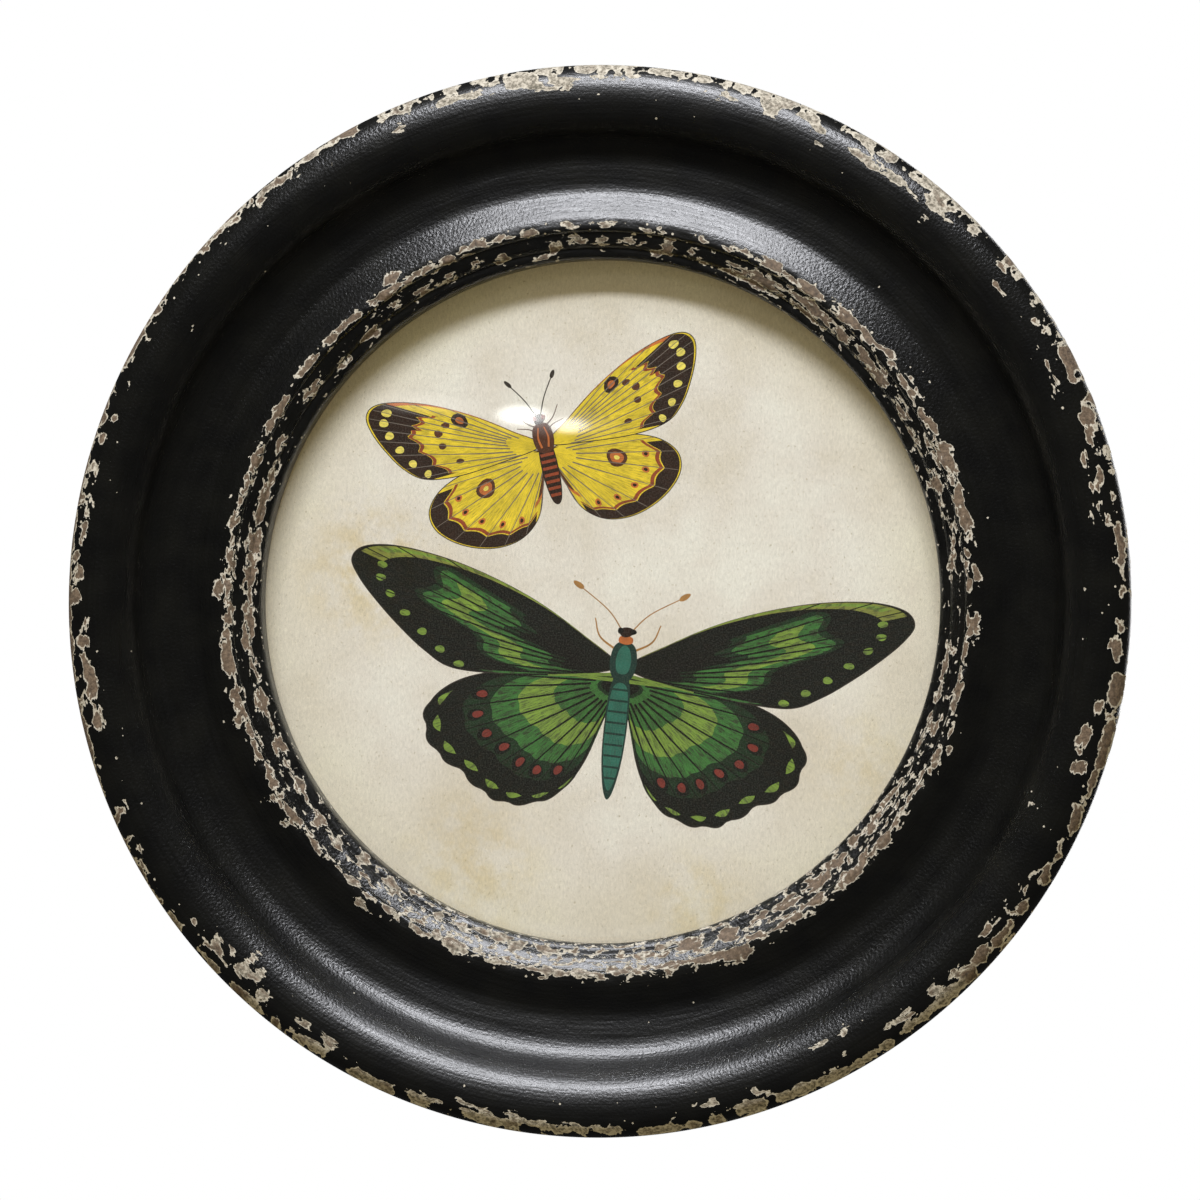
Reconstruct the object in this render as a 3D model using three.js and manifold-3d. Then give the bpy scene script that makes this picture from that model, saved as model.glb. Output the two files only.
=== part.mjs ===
// A round wall picture: a deep turned wooden frame, a domed glass, a printed
// card behind it, and a hardboard back with its retaining tabs and hanger.
// Millimetres, +Z up. The picture faces -Y and its back lies on the wall, Y = 0.
// The origin is where the wall nail meets the middle notch of the hanger.
// A height is a distance from the wall towards the viewer.
import * as THREE from "three";
import { mergeVertices } from "three/addons/utils/BufferGeometryUtils.js";
import Module from "manifold-3d";

const wasm = await Module();
wasm.setup();

// Driving dimensions
const FRAME_R = 125; // widest radius of the frame
const FRAME_DEPTH = 36; // from the wall to the crest of the outer bead
const OPENING_R = 80; // radius of the visible glass
const RABBET_R = 83.6; // radius of the recess that takes glass, card and board
const LEDGE = 19.4; // height of the ledge that the glass bears on
const GLASS_THICK = 2;
const DOME_RISE = 14.5; // how far the middle of the glass stands above its edge
const CARD_THICK = 0.4;
const BOARD_THICK = 3;
const NAIL_TO_CENTRE = 100; // the wall nail is this far above the middle
const GAP = 0.3; // between pieces that touch

// Facets: of a full turn, and in each curve of a section
const FRAME_STEPS = 64;
const GLASS_STEPS = 48;
const NAIL_STEPS = 12;
const CURVE_STEPS = 3;

// The section of the moulding, from the outside in
const SIDE = { backR: 120.5, ease: 1.2, topR: 124, top: 23.5 }; // tapered towards the wall
const BEAD = { r: 117.7, round: 9.8, shoulder: THREE.MathUtils.degToRad(24) };
const SCOOP = { r: 101.2, round: 9 }; // the hollow sweep inside the bead
const FLOOR = { r: 97.6, dip: 0.4 }; // the flat at the foot of the scoop
const LIP = { footR: 94.9, rise: 0.5, topR: 89.6, slope: 0.46 }; // outer slope of the lip
const LIP_CURVES = [ // from the crest of the lip in to the opening
  { corner: { r: 88.3, h: 29.1 }, end: { r: 87.4, h: 29.1 } },
  { corner: { r: 86.6, h: 29.1 }, end: { r: 86.2, h: 28.1 } },
  { corner: { r: 84.7, h: 27.6 }, end: { r: 82.9, h: 26.3 } },
  { corner: { r: 82.7, h: 25.7 }, end: { r: 82.4, h: 25.7 } },
  { corner: { r: 81.3, h: 25.7 }, end: { r: 80.6, h: 25 } },
  { corner: { r: OPENING_R, h: 24.4 }, end: { r: OPENING_R, h: 23.2 } },
];

// The back: tabs that hold the board, the hanger and its nails
const TAB_COUNT = 4;
const TAB = { width: 7, innerR: 75, shoulderR: 85, tipR: 88, thick: 0.6 };
const SLIT_PLAY = 0.4; // room round a tab in the wood
const HANGER = { half: 23, top: 6.5, thick: 0.8, back: 1.3, teeth: 4, pitch: 4, depth: 1.6 };
const HANGER_RECESS = { half: 24.2, low: -2.8, high: 7.7, depth: 2.4, corner: 2 };
const NAIL_POCKET = { half: 14, low: -9, high: 3, depth: 9, corner: 4 };
const NAIL = { x: 20.4, z: 3, head: 2.2, headThick: 0.7, shank: 0.8, length: 10, hole: 1.15 };

// The stack in the rabbet, from the ledge back towards the wall
const GLASS_FRONT = LEDGE - GAP;
const CARD_FACE = GLASS_FRONT - GLASS_THICK - GAP;
const BOARD_FACE = CARD_FACE - CARD_THICK - GAP;
const BOARD_BACK = BOARD_FACE - BOARD_THICK;
const STACK_R = RABBET_R - GAP - 0.1;

const material = (color, roughness, metalness = 0, more = {}) =>
  new THREE.MeshStandardMaterial({ color, roughness, metalness, ...more });
const BLACK_PAINT = material(0x141413, 0.4);
const CLEAR_GLASS = material(0xf4f8f6, 0.05, 0, { transparent: true, opacity: 0.25 });
const AGED_CARD = material(0xddd6c2, 0.85);
const HARDBOARD = material(0x6d4d33, 0.8);
const ZINC = material(0xa9abac, 0.4, 1);
const BRASSED_STEEL = material(0xb39a5c, 0.35, 1);

// A closed geometry as a solid that can be cut, and back again
function solid(geometry) {
  const bare = geometry.index ? geometry.toNonIndexed() : geometry.clone();
  bare.deleteAttribute("normal");
  bare.deleteAttribute("uv");
  const merged = mergeVertices(bare, 1e-3);
  const vertProperties = merged.attributes.position.array;
  const triVerts = new Uint32Array(merged.index.array);
  return new wasm.Manifold(new wasm.Mesh({ numProp: 3, vertProperties, triVerts }));
}

function cut(geometry, cutters) {
  const made = cutters.reduce((rest, cutter) => rest.subtract(solid(cutter)), solid(geometry));
  const { vertProperties, triVerts } = made.getMesh();
  const result = new THREE.BufferGeometry();
  result.setAttribute("position", new THREE.BufferAttribute(vertProperties, 3));
  result.setIndex(new THREE.BufferAttribute(triVerts, 1));
  result.computeVertexNormals();
  return result;
}

// A section in radius and height, drawn counter-clockwise, turned round an axis
// that points at the viewer
function turned(section, steps) {
  const outline = section.getPoints(CURVE_STEPS).map((p) => new THREE.Vector2(p.x, -p.y));
  return new THREE.LatheGeometry(outline.reverse(), steps);
}

// A flat outline in X and Z, made a plate between two heights
function plate(shape, low, high) {
  const options = { depth: high - low, bevelEnabled: false, curveSegments: 5 };
  return new THREE.ExtrudeGeometry(shape, options).rotateX(Math.PI / 2).translate(0, -low, 0);
}

function roundedShape({ half, low, high, corner }) {
  const inset = half - corner;
  return new THREE.Shape()
    .absarc(inset, low + corner, corner, -Math.PI / 2, 0)
    .absarc(inset, high - corner, corner, 0, Math.PI / 2)
    .absarc(-inset, high - corner, corner, Math.PI / 2, Math.PI)
    .absarc(-inset, low + corner, corner, Math.PI, 1.5 * Math.PI);
}

function pocket(sizes) {
  return plate(roundedShape(sizes), -1, sizes.depth);
}

// The bead and the scoop meet where both are equally steep, which sets the height
// of the floor below the crest
function mouldingSection() {
  const rounds = BEAD.round + SCOOP.round;
  const steepest = Math.asin((BEAD.r - SCOOP.r) / rounds);
  const beadCentre = FRAME_DEPTH - BEAD.round;
  const scoopCentre = beadCentre + rounds * Math.cos(steepest);
  const scoopFloor = scoopCentre - SCOOP.round;
  const floor = scoopFloor - FLOOR.dip;
  const lipFoot = floor + LIP.rise;

  // The shoulder is the tighter round between the crown of the bead and the side
  const lean = Math.sin(BEAD.shoulder);
  const shoulderRound = (FRAME_R - BEAD.r - BEAD.round * lean) / (1 - lean);
  const shoulderCentre = beadCentre + (BEAD.round - shoulderRound) * Math.cos(BEAD.shoulder);
  const upright = Math.PI / 2;

  const path = new THREE.Path();
  path.moveTo(RABBET_R, 0);
  path.lineTo(SIDE.backR - SIDE.ease, 0);
  path.lineTo(SIDE.backR, SIDE.ease);
  path.lineTo(SIDE.topR, SIDE.top);
  path.quadraticCurveTo(FRAME_R, SIDE.top + 4, FRAME_R, shoulderCentre);
  path.absarc(FRAME_R - shoulderRound, shoulderCentre, shoulderRound, 0, upright - BEAD.shoulder);
  path.absarc(BEAD.r, beadCentre, BEAD.round, upright - BEAD.shoulder, upright + steepest);
  path.absarc(SCOOP.r, scoopCentre, SCOOP.round, steepest - upright, -upright, true);
  path.lineTo(FLOOR.r, floor);
  path.quadraticCurveTo(LIP.footR + 1, floor, LIP.footR, lipFoot);
  path.lineTo(LIP.topR, lipFoot + (LIP.footR - LIP.topR) * LIP.slope);
  for (const { corner, end } of LIP_CURVES) {
    path.quadraticCurveTo(corner.r, corner.h, end.r, end.h);
  }
  path.lineTo(OPENING_R, LEDGE);
  path.lineTo(RABBET_R, LEDGE);
  path.lineTo(RABBET_R, 0);
  return path;
}

function tabOutline(play) {
  const side = TAB.width / 2 + play;
  return new THREE.Shape()
    .moveTo(-side, TAB.innerR - play)
    .lineTo(side, TAB.innerR - play)
    .lineTo(side, TAB.shoulderR + play)
    .lineTo(0, TAB.tipR + play)
    .lineTo(-side, TAB.shoulderR + play);
}

// A tab lies on the board, its point driven into the wall of the rabbet
function tabPlate(index, play) {
  const top = BOARD_BACK - GAP + play;
  const geometry = plate(tabOutline(play), top - TAB.thick - 2 * play, top);
  return geometry.rotateY((index / TAB_COUNT) * 2 * Math.PI);
}

const tabs = Array.from({ length: TAB_COUNT }, (_, index) => index);
const sides = { left: -NAIL.x, right: NAIL.x };

function nailHole(x) {
  const depth = NAIL.length + 1;
  return new THREE.CylinderGeometry(NAIL.hole, NAIL.hole, depth, NAIL_STEPS)
    .translate(x, -HANGER.back - depth / 2, NAIL.z);
}

function frameGeometry() {
  const ring = turned(mouldingSection(), FRAME_STEPS);
  const slits = tabs.map((index) => tabPlate(index, SLIT_PLAY));
  const middle = [...slits, ring].map((piece) => piece.translate(0, 0, -NAIL_TO_CENTRE));
  const holes = Object.values(sides).map(nailHole);
  const cutters = [...middle.slice(0, -1), pocket(HANGER_RECESS), pocket(NAIL_POCKET), ...holes];
  return cut(ring, cutters);
}

// The glass is a shallow dome with a flat rim that lies behind the ledge
function glassSection() {
  const footR = OPENING_R - 0.5;
  const sphere = (footR ** 2 + DOME_RISE ** 2) / (2 * DOME_RISE);
  const centre = GLASS_FRONT + DOME_RISE - sphere;
  const back = GLASS_FRONT - GLASS_THICK;
  const inner = sphere - GLASS_THICK;
  const path = new THREE.Path();
  path.absarc(0, centre, inner, Math.PI / 2, Math.asin((back - centre) / inner), true);
  path.lineTo(STACK_R, back);
  path.lineTo(STACK_R, GLASS_FRONT);
  path.lineTo(footR, GLASS_FRONT);
  path.absarc(0, centre, sphere, Math.acos(footR / sphere), Math.PI / 2);
  return path;
}

function discSection(radius, low, high) {
  const path = new THREE.Path();
  path.moveTo(0, low);
  path.lineTo(radius, low);
  path.lineTo(radius, high);
  path.lineTo(0, high);
  return path;
}

// The wall nail bears in the middle notch, whose top is at the origin
function hangerShape() {
  const shape = new THREE.Shape();
  shape.moveTo(-HANGER.half, -HANGER.depth);
  for (let tooth = -HANGER.teeth; tooth <= HANGER.teeth; tooth += 1) {
    shape.lineTo((tooth - 0.5) * HANGER.pitch, -HANGER.depth);
    shape.lineTo(tooth * HANGER.pitch, 0);
  }
  shape.lineTo((HANGER.teeth + 0.5) * HANGER.pitch, -HANGER.depth);
  shape.lineTo(HANGER.half, -HANGER.depth);
  shape.lineTo(HANGER.half, HANGER.top);
  shape.lineTo(-HANGER.half, HANGER.top);
  for (const x of Object.values(sides)) {
    shape.holes.push(new THREE.Path().absarc(x, NAIL.z, NAIL.hole, 0, 2 * Math.PI));
  }
  return shape;
}

// A nail's head lies on the hanger, and its shank runs into the wood
function nailSection() {
  const head = HANGER.back - GAP;
  const path = new THREE.Path();
  path.moveTo(0, head - NAIL.headThick);
  path.lineTo(NAIL.head, head - NAIL.headThick);
  path.lineTo(NAIL.head, head);
  path.lineTo(NAIL.shank, head);
  path.lineTo(NAIL.shank, NAIL.length - 2);
  path.lineTo(0, NAIL.length);
  return path;
}

const model = new THREE.Group();

function add(name, geometry, finish) {
  const mesh = new THREE.Mesh(geometry, finish);
  mesh.name = name;
  model.add(mesh);
  return mesh;
}

add("frame", frameGeometry(), BLACK_PAINT);
for (const [name, section, steps, finish] of [
  ["dome_glass", glassSection(), GLASS_STEPS, CLEAR_GLASS],
  ["print_card", discSection(STACK_R, CARD_FACE - CARD_THICK, CARD_FACE), GLASS_STEPS, AGED_CARD],
  ["backing_board", discSection(STACK_R, BOARD_BACK, BOARD_FACE), GLASS_STEPS, HARDBOARD],
]) {
  add(name, turned(section, steps), finish).position.z = -NAIL_TO_CENTRE;
}
for (const index of tabs) {
  add(`retaining_tab_${index + 1}`, tabPlate(index, 0), ZINC).position.z = -NAIL_TO_CENTRE;
}
add("hanger", plate(hangerShape(), HANGER.back, HANGER.back + HANGER.thick), BRASSED_STEEL);
for (const [side, x] of Object.entries(sides)) {
  const nail = add(`hanger_nail_${side}`, turned(nailSection(), NAIL_STEPS), BRASSED_STEEL);
  nail.position.set(x, 0, NAIL.z);
}

export default model;
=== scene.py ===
from functools import partial
from math import asin, atan2, cos, dist, hypot, pi, radians, sin, tau

import bmesh
import bpy
import numpy as np
from mathutils import Matrix, Vector, noise
from mathutils.geometry import delaunay_2d_cdt


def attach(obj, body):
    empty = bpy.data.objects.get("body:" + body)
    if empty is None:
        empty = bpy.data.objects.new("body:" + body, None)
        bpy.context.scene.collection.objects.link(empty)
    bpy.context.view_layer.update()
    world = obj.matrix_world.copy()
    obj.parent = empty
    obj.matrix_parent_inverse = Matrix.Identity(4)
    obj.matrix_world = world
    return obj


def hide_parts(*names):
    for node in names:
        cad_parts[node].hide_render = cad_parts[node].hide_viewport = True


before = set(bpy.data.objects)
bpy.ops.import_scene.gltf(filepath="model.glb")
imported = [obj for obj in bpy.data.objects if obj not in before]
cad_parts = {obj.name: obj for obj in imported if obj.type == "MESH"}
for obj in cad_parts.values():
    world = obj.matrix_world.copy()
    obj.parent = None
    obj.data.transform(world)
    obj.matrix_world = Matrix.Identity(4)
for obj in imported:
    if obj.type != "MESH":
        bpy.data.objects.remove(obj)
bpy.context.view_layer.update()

MM = 0.001
MIDDLE = Vector((0, 0, -100))  # mm, from the nail that the picture hangs on
CENTRE = MIDDLE * MM


def place(r, angle, h):
    """A point of the picture, in metres; the angle runs clockwise from the top."""
    return (MIDDLE + Vector((r * sin(angle), -h, r * cos(angle)))) * MM


# Node trees

def linear(code, alpha=1.0):
    """An sRGB hex colour as linear numbers."""
    parts = [int(code[i:i + 2], 16) / 255 for i in (1, 3, 5)]
    return (*[c / 12.92 if c <= 0.04045 else ((c + 0.055) / 1.055) ** 2.4 for c in parts], alpha)


def add_node(tree, kind, sockets=(), stops=(), **settings):
    """Add a node with its settings, the stops of its ramp, and its sockets by name or in order.

    A socket takes a plain value, a hex colour, another socket, or a node, for that node's result.
    """
    made = tree.nodes.new("ShaderNode" + kind)
    for name, value in settings.items():
        setattr(made, name, value)
    if stops:
        while len(made.color_ramp.elements) < len(stops):
            made.color_ramp.elements.new(0.5)
        for element, (position, colour) in zip(made.color_ramp.elements, stops):
            element.position = position
            element.color = linear(colour)
    for key, value in sockets.items() if isinstance(sockets, dict) else enumerate(sockets):
        if isinstance(value, bpy.types.Node):
            mixed = value.bl_idname == "ShaderNodeMix" and value.data_type == "RGBA"
            value = value.outputs[2 if mixed else 0]
        if isinstance(value, bpy.types.NodeSocket):
            tree.links.new(value, made.inputs[key])
        else:
            made.inputs[key].default_value = linear(value) if isinstance(value, str) else value
    return made


def emptied(owner):
    """Empty the node tree of a material, a lamp or the world, and give back its add function."""
    owner.use_nodes = True
    owner.node_tree.nodes.clear()
    return partial(add_node, owner.node_tree)


# Camera and lamps

VIEW_AZIMUTH = radians(8)
VIEW_HEIGHT = radians(-1.3)
VIEW_DISTANCE = 1.8
FIELD = 0.2843  # width of the view at the picture
SENSOR = 36
AIM_SHIFT = Vector((-0.0031, 0, 0.0008))  # the photo shows the picture a little off its middle


def direction(azimuth, elevation):
    """From the picture: azimuth to the viewer's right, elevation up."""
    flat = cos(elevation)
    return Vector((sin(azimuth) * flat, -cos(azimuth) * flat, sin(elevation)))


def aimed(obj, aim, towards, distance):
    """Put a camera or lamp this far from where it is aimed."""
    obj.location = aim + towards * distance
    obj.rotation_euler = towards.to_track_quat("Z", "Y").to_euler()
    bpy.context.collection.objects.link(obj)
    return obj


camera_lens = bpy.data.cameras.new("camera")
camera_lens.sensor_width = SENSOR
camera_lens.lens = SENSOR * VIEW_DISTANCE / FIELD
camera = aimed(bpy.data.objects.new("camera", camera_lens), CENTRE + AIM_SHIFT,
               direction(VIEW_AZIMUTH, VIEW_HEIGHT), VIEW_DISTANCE)
bpy.context.scene.camera = camera
bpy.context.scene.view_settings.view_transform = "Standard"


def softbox(name, azimuth, elevation, distance, width, height, radiance, tint=(1, 1, 1)):
    """A soft lamp facing the picture; degrees, metres, and radiance in W/m2/sr."""
    lamp = bpy.data.lights.new(name, "AREA")
    lamp.shape = "RECTANGLE"
    lamp.size = width
    lamp.size_y = height
    lamp.energy = radiance * pi * width * height
    lamp.color = tint
    towards = direction(radians(azimuth), radians(elevation))
    aimed(bpy.data.objects.new(name, lamp), CENTRE, towards, distance)
    return lamp


def fade_out(lamp):
    """Let a lamp die away from its middle to its edges, as behind a diffuser."""
    add = emptied(lamp)
    spot_on = add("NewGeometry").outputs["Parametric"]
    off = add("VectorMath", [spot_on, (0.5, 0.5, 0)], operation="SUBTRACT")
    flat = add("VectorMath", [off, (1, 1, 0)], operation="MULTIPLY")
    away = add("VectorMath", [flat], operation="LENGTH").outputs["Value"]
    glow = add("MapRange", [away, 0.5, 0.1], interpolation_type="SMOOTHSTEP")
    add("OutputLight", {"Surface": add("Emission", {"Strength": glow})})


LAMP_DISTANCE, PANE_DISTANCE = 2.0, 1.6
softbox("overhead_softbox", -2, 48.4, LAMP_DISTANCE, 1.45, 0.22, 46, (0.94, 0.95, 1))
softbox("upper_softbox", -2, 57, LAMP_DISTANCE, 1.3, 0.36, 5.5, (0.93, 0.95, 1))
softbox("back_softbox", 168, 8, LAMP_DISTANCE, 1.6, 1.2, 3.5)  # for views of the back alone

# The panes that the glass and the foot of the frame mirror: degrees, metres and W/m2/sr
for pane, azimuth, elevation, width, height, radiance in [
        ("window_left", -19.3, 25.3, 0.26, 0.1, 8.5), ("window_right", -12.2, 24.2, 0.19, 0.08, 7),
        ("window_frame", -15, 24.6, 0.6, 0.13, 1.2), ("far_window", -34, 26, 0.62, 0.11, 1)]:
    fade_out(softbox(pane, azimuth, elevation, PANE_DISTANCE, width, height, radiance))


# Materials. Where a noise runs in picture millimetres, its Scale is 1 over the size of its grain.

def new_material(name, shade, *looks):
    """A material whose surface is the shader that the function makes."""
    made = bpy.data.materials.new(name)
    add = emptied(made)
    add("OutputMaterial", {"Surface": shade(add, *looks)})
    return made


def picture_millimetres(add):
    """Object coordinates in millimetres round the middle of the picture."""
    place_on = add("TexCoord").outputs["Object"]
    return add("Mapping", {"Vector": place_on, "Location": -MIDDLE, "Scale": (1 / MM,) * 3})


def round_the_middle(add):
    """The picture coordinates, the same without their height, and the distance out."""
    spot = picture_millimetres(add)
    flat = add("VectorMath", [spot, (1, 0, 1)], operation="MULTIPLY")
    return spot, flat, add("VectorMath", [flat], operation="LENGTH").outputs["Value"]


TORN, FRAYED = 4.0, 0.6  # mm, how far the coarse and the fine noise move the edge of a chip
CELLS_ROUND, CELL_ACROSS = 36, 1.4  # of the coarse noise: per radian along the ring, and in mm
LINES_ROUND, LINES_ACROSS = 9, 1.5  # of the brush marks: per radian along the ring, and per mm
PEBBLE = 0.65  # mm, in the skin of the paint


def rubbed_paint(add):
    """Satin black furniture paint, brushed on over a cream ground and rubbed back by hand.

    To the eye: deep soft black with a fine pebbled skin, whose brush marks, round the ring, draw
    each highlight out across it, and ragged chips along the ridges, with thin cream rims and
    brown wood in their middles.
    """
    spot, flat, radius = round_the_middle(add)
    round_way = add("VectorMath", [flat], operation="NORMALIZE")
    axes = add("SeparateXYZ", {"Vector": spot}).outputs

    # The mesh says how many millimetres a spot lies inside a chip, and two noises move the edge
    # of the chip in and out from there, in tears that are longer along the ring than across it
    wear = add("Attribute", attribute_name="wear").outputs["Fac"]
    bare = add("Attribute", attribute_name="bare").outputs["Fac"]
    ring_cell = add("VectorMath", {0: round_way, "Scale": CELLS_ROUND}, operation="SCALE")
    across = add("Math", [axes["Y"], -0.6, radius], operation="MULTIPLY_ADD")
    across_cell = add("Math", [across, 1 / CELL_ACROSS], operation="MULTIPLY")
    across_axis = add("CombineXYZ", {"Y": across_cell})
    torn_at = add("VectorMath", [ring_cell, across_axis], operation="ADD")
    torn = add("TexNoise", {"Vector": torn_at, "Scale": 1, "Detail": 2.5, "Roughness": 0.5,
                            "Distortion": 0.4})
    fine = add("TexNoise", {"Vector": spot, "Scale": 1 / 0.7, "Detail": 2})
    level = add("Math", [torn, TORN, wear], operation="MULTIPLY_ADD")
    depth_over = add("Math", [fine, FRAYED, level], operation="MULTIPLY_ADD")
    depth = add("Math", [depth_over, (TORN + FRAYED) / 2], operation="SUBTRACT")
    rim = add("MapRange", [fine, 0.35, 0.65, 0.16, 0.4])
    past_rim = add("Math", [depth, rim], operation="SUBTRACT")
    ground = add("MapRange", [depth, 0, 0.06])
    wood_edge = add("MapRange", [past_rim, 0, 0.07])

    # Pin chips, well under a millimetre, in loose sprays near the rubbed ridges
    pins = add("TexVoronoi", {"Vector": spot, "Scale": 1 / 1.5, "Randomness": 1})
    pin_pick = add("SeparateColor", {"Color": pins.outputs["Color"]}).outputs
    pin_rare = add("MapRange", [depth, -2, -0.4, 0.004, 0.16])
    pin_here = add("Math", [pin_pick[0], pin_rare], operation="LESS_THAN")
    pin_size = add("Math", [pin_pick[1], 0.16, 0.08], operation="MULTIPLY_ADD")
    pin_dot = add("Math", [pins.outputs["Distance"], pin_size], operation="LESS_THAN")
    pin = add("Math", [pin_here, pin_dot], operation="MULTIPLY")
    cream_mask = add("Math", [ground, pin], operation="MAXIMUM")

    # Colours of the layers: black, cream ground, ground gone grey with dirt, brown wood
    mottle = add("TexNoise", {"Vector": spot, "Scale": 1 / 9, "Detail": 2})
    black = add("ValToRGB", {"Fac": mottle}, stops=[(0.35, "#080807"), (0.7, "#10100d")])
    dirt = add("TexNoise", {"Vector": spot, "Scale": 1 / 0.9, "Detail": 4, "Roughness": 0.7})
    cream = add("ValToRGB", {"Fac": dirt}, stops=[
        (0.30, "#7f7a6e"), (0.43, "#a8a396"), (0.58, "#c8c3b8")])
    grey_ground = add("ValToRGB", {"Fac": dirt}, stops=[
        (0.36, "#5a564a"), (0.47, "#878175"), (0.58, "#b7b1a5")])
    brown = add("ValToRGB", {"Fac": dirt}, stops=[
        (0.30, "#41362c"), (0.48, "#625344"), (0.66, "#7e6d5c")])
    scraped = add("Math", [torn, 1.6, bare], operation="MULTIPLY_ADD")
    to_wood = add("MapRange", [scraped, 1.2, 1.5])
    middle = add("Mix", {0: to_wood, 6: grey_ground, 7: brown}, data_type="RGBA")
    over_ground = add("Mix", {0: cream_mask, 6: black, 7: cream}, data_type="RGBA")
    colour = add("Mix", {0: wood_edge, 6: over_ground, 7: middle}, data_type="RGBA")

    # The skin of the paint: pebbles, and fainter brush lines round the ring
    line_way = add("VectorMath", {0: round_way, "Scale": LINES_ROUND}, operation="SCALE")
    ring_step = add("Math", [radius, LINES_ACROSS], operation="MULTIPLY")
    rise_step = add("Math", [axes["Y"], LINES_ACROSS], operation="MULTIPLY")
    line_axis = add("CombineXYZ", {"Y": ring_step})
    line_at = add("VectorMath", [line_way, line_axis], operation="ADD")
    lines = add("TexNoise", {"Vector": line_at, "W": rise_step, "Scale": 1, "Detail": 2},
                noise_dimensions="4D")
    pebbles = add("TexNoise", {"Vector": spot, "Scale": 1 / PEBBLE, "Detail": 2})
    skin = add("Math", [lines, 0.8, pebbles], operation="MULTIPLY_ADD")
    sheen = add("MapRange", [lines, 0.3, 0.7, 0.26, 0.33])
    rough = add("Mix", {0: cream_mask, 2: sheen, 3: 0.75})

    skin_bump = add("Bump", {"Strength": 0.8, "Distance": 0.11 * MM, "Height": skin})
    layers = add("Math", [wood_edge, 0.4, cream_mask], operation="MULTIPLY_ADD")
    chip_bump = add("Bump", {"Strength": 0.8, "Distance": 0.14 * MM, "Height": layers,
                             "Normal": skin_bump}, invert=True)
    return add("BsdfPrincipled", {"Base Color": colour, "Roughness": rough, "IOR": 1.63,
                                  "Normal": chip_bump, "Anisotropic": 0.6, "Tangent": round_way})


def clear_glass(add):
    """Blown picture glass, 2 mm: clear, faintly green, and glossy.

    Light that falls on the card, or comes back from it, goes straight through.
    """
    path = add("LightPath")
    straight = add("Math", [path.outputs["Is Shadow Ray"], path.outputs["Is Diffuse Ray"]],
                   operation="MAXIMUM")
    glass = add("BsdfPrincipled", {"Base Color": (0.985, 0.995, 0.985, 1), "Roughness": 0,
                                   "IOR": 1.52, "Transmission Weight": 1})
    through = add("BsdfTransparent", {"Color": (0.93, 0.94, 0.92, 1)})
    return add("MixShader", [straight, glass, through])


# Damp stains: the middle, the reach in mm, and how dark
STAINS = [(-54, 8, 26, 0.7), (-30, -60, 26, 0.5), (22, -70, 20, 0.45), (60, -38, 22, 0.35)]


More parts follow.
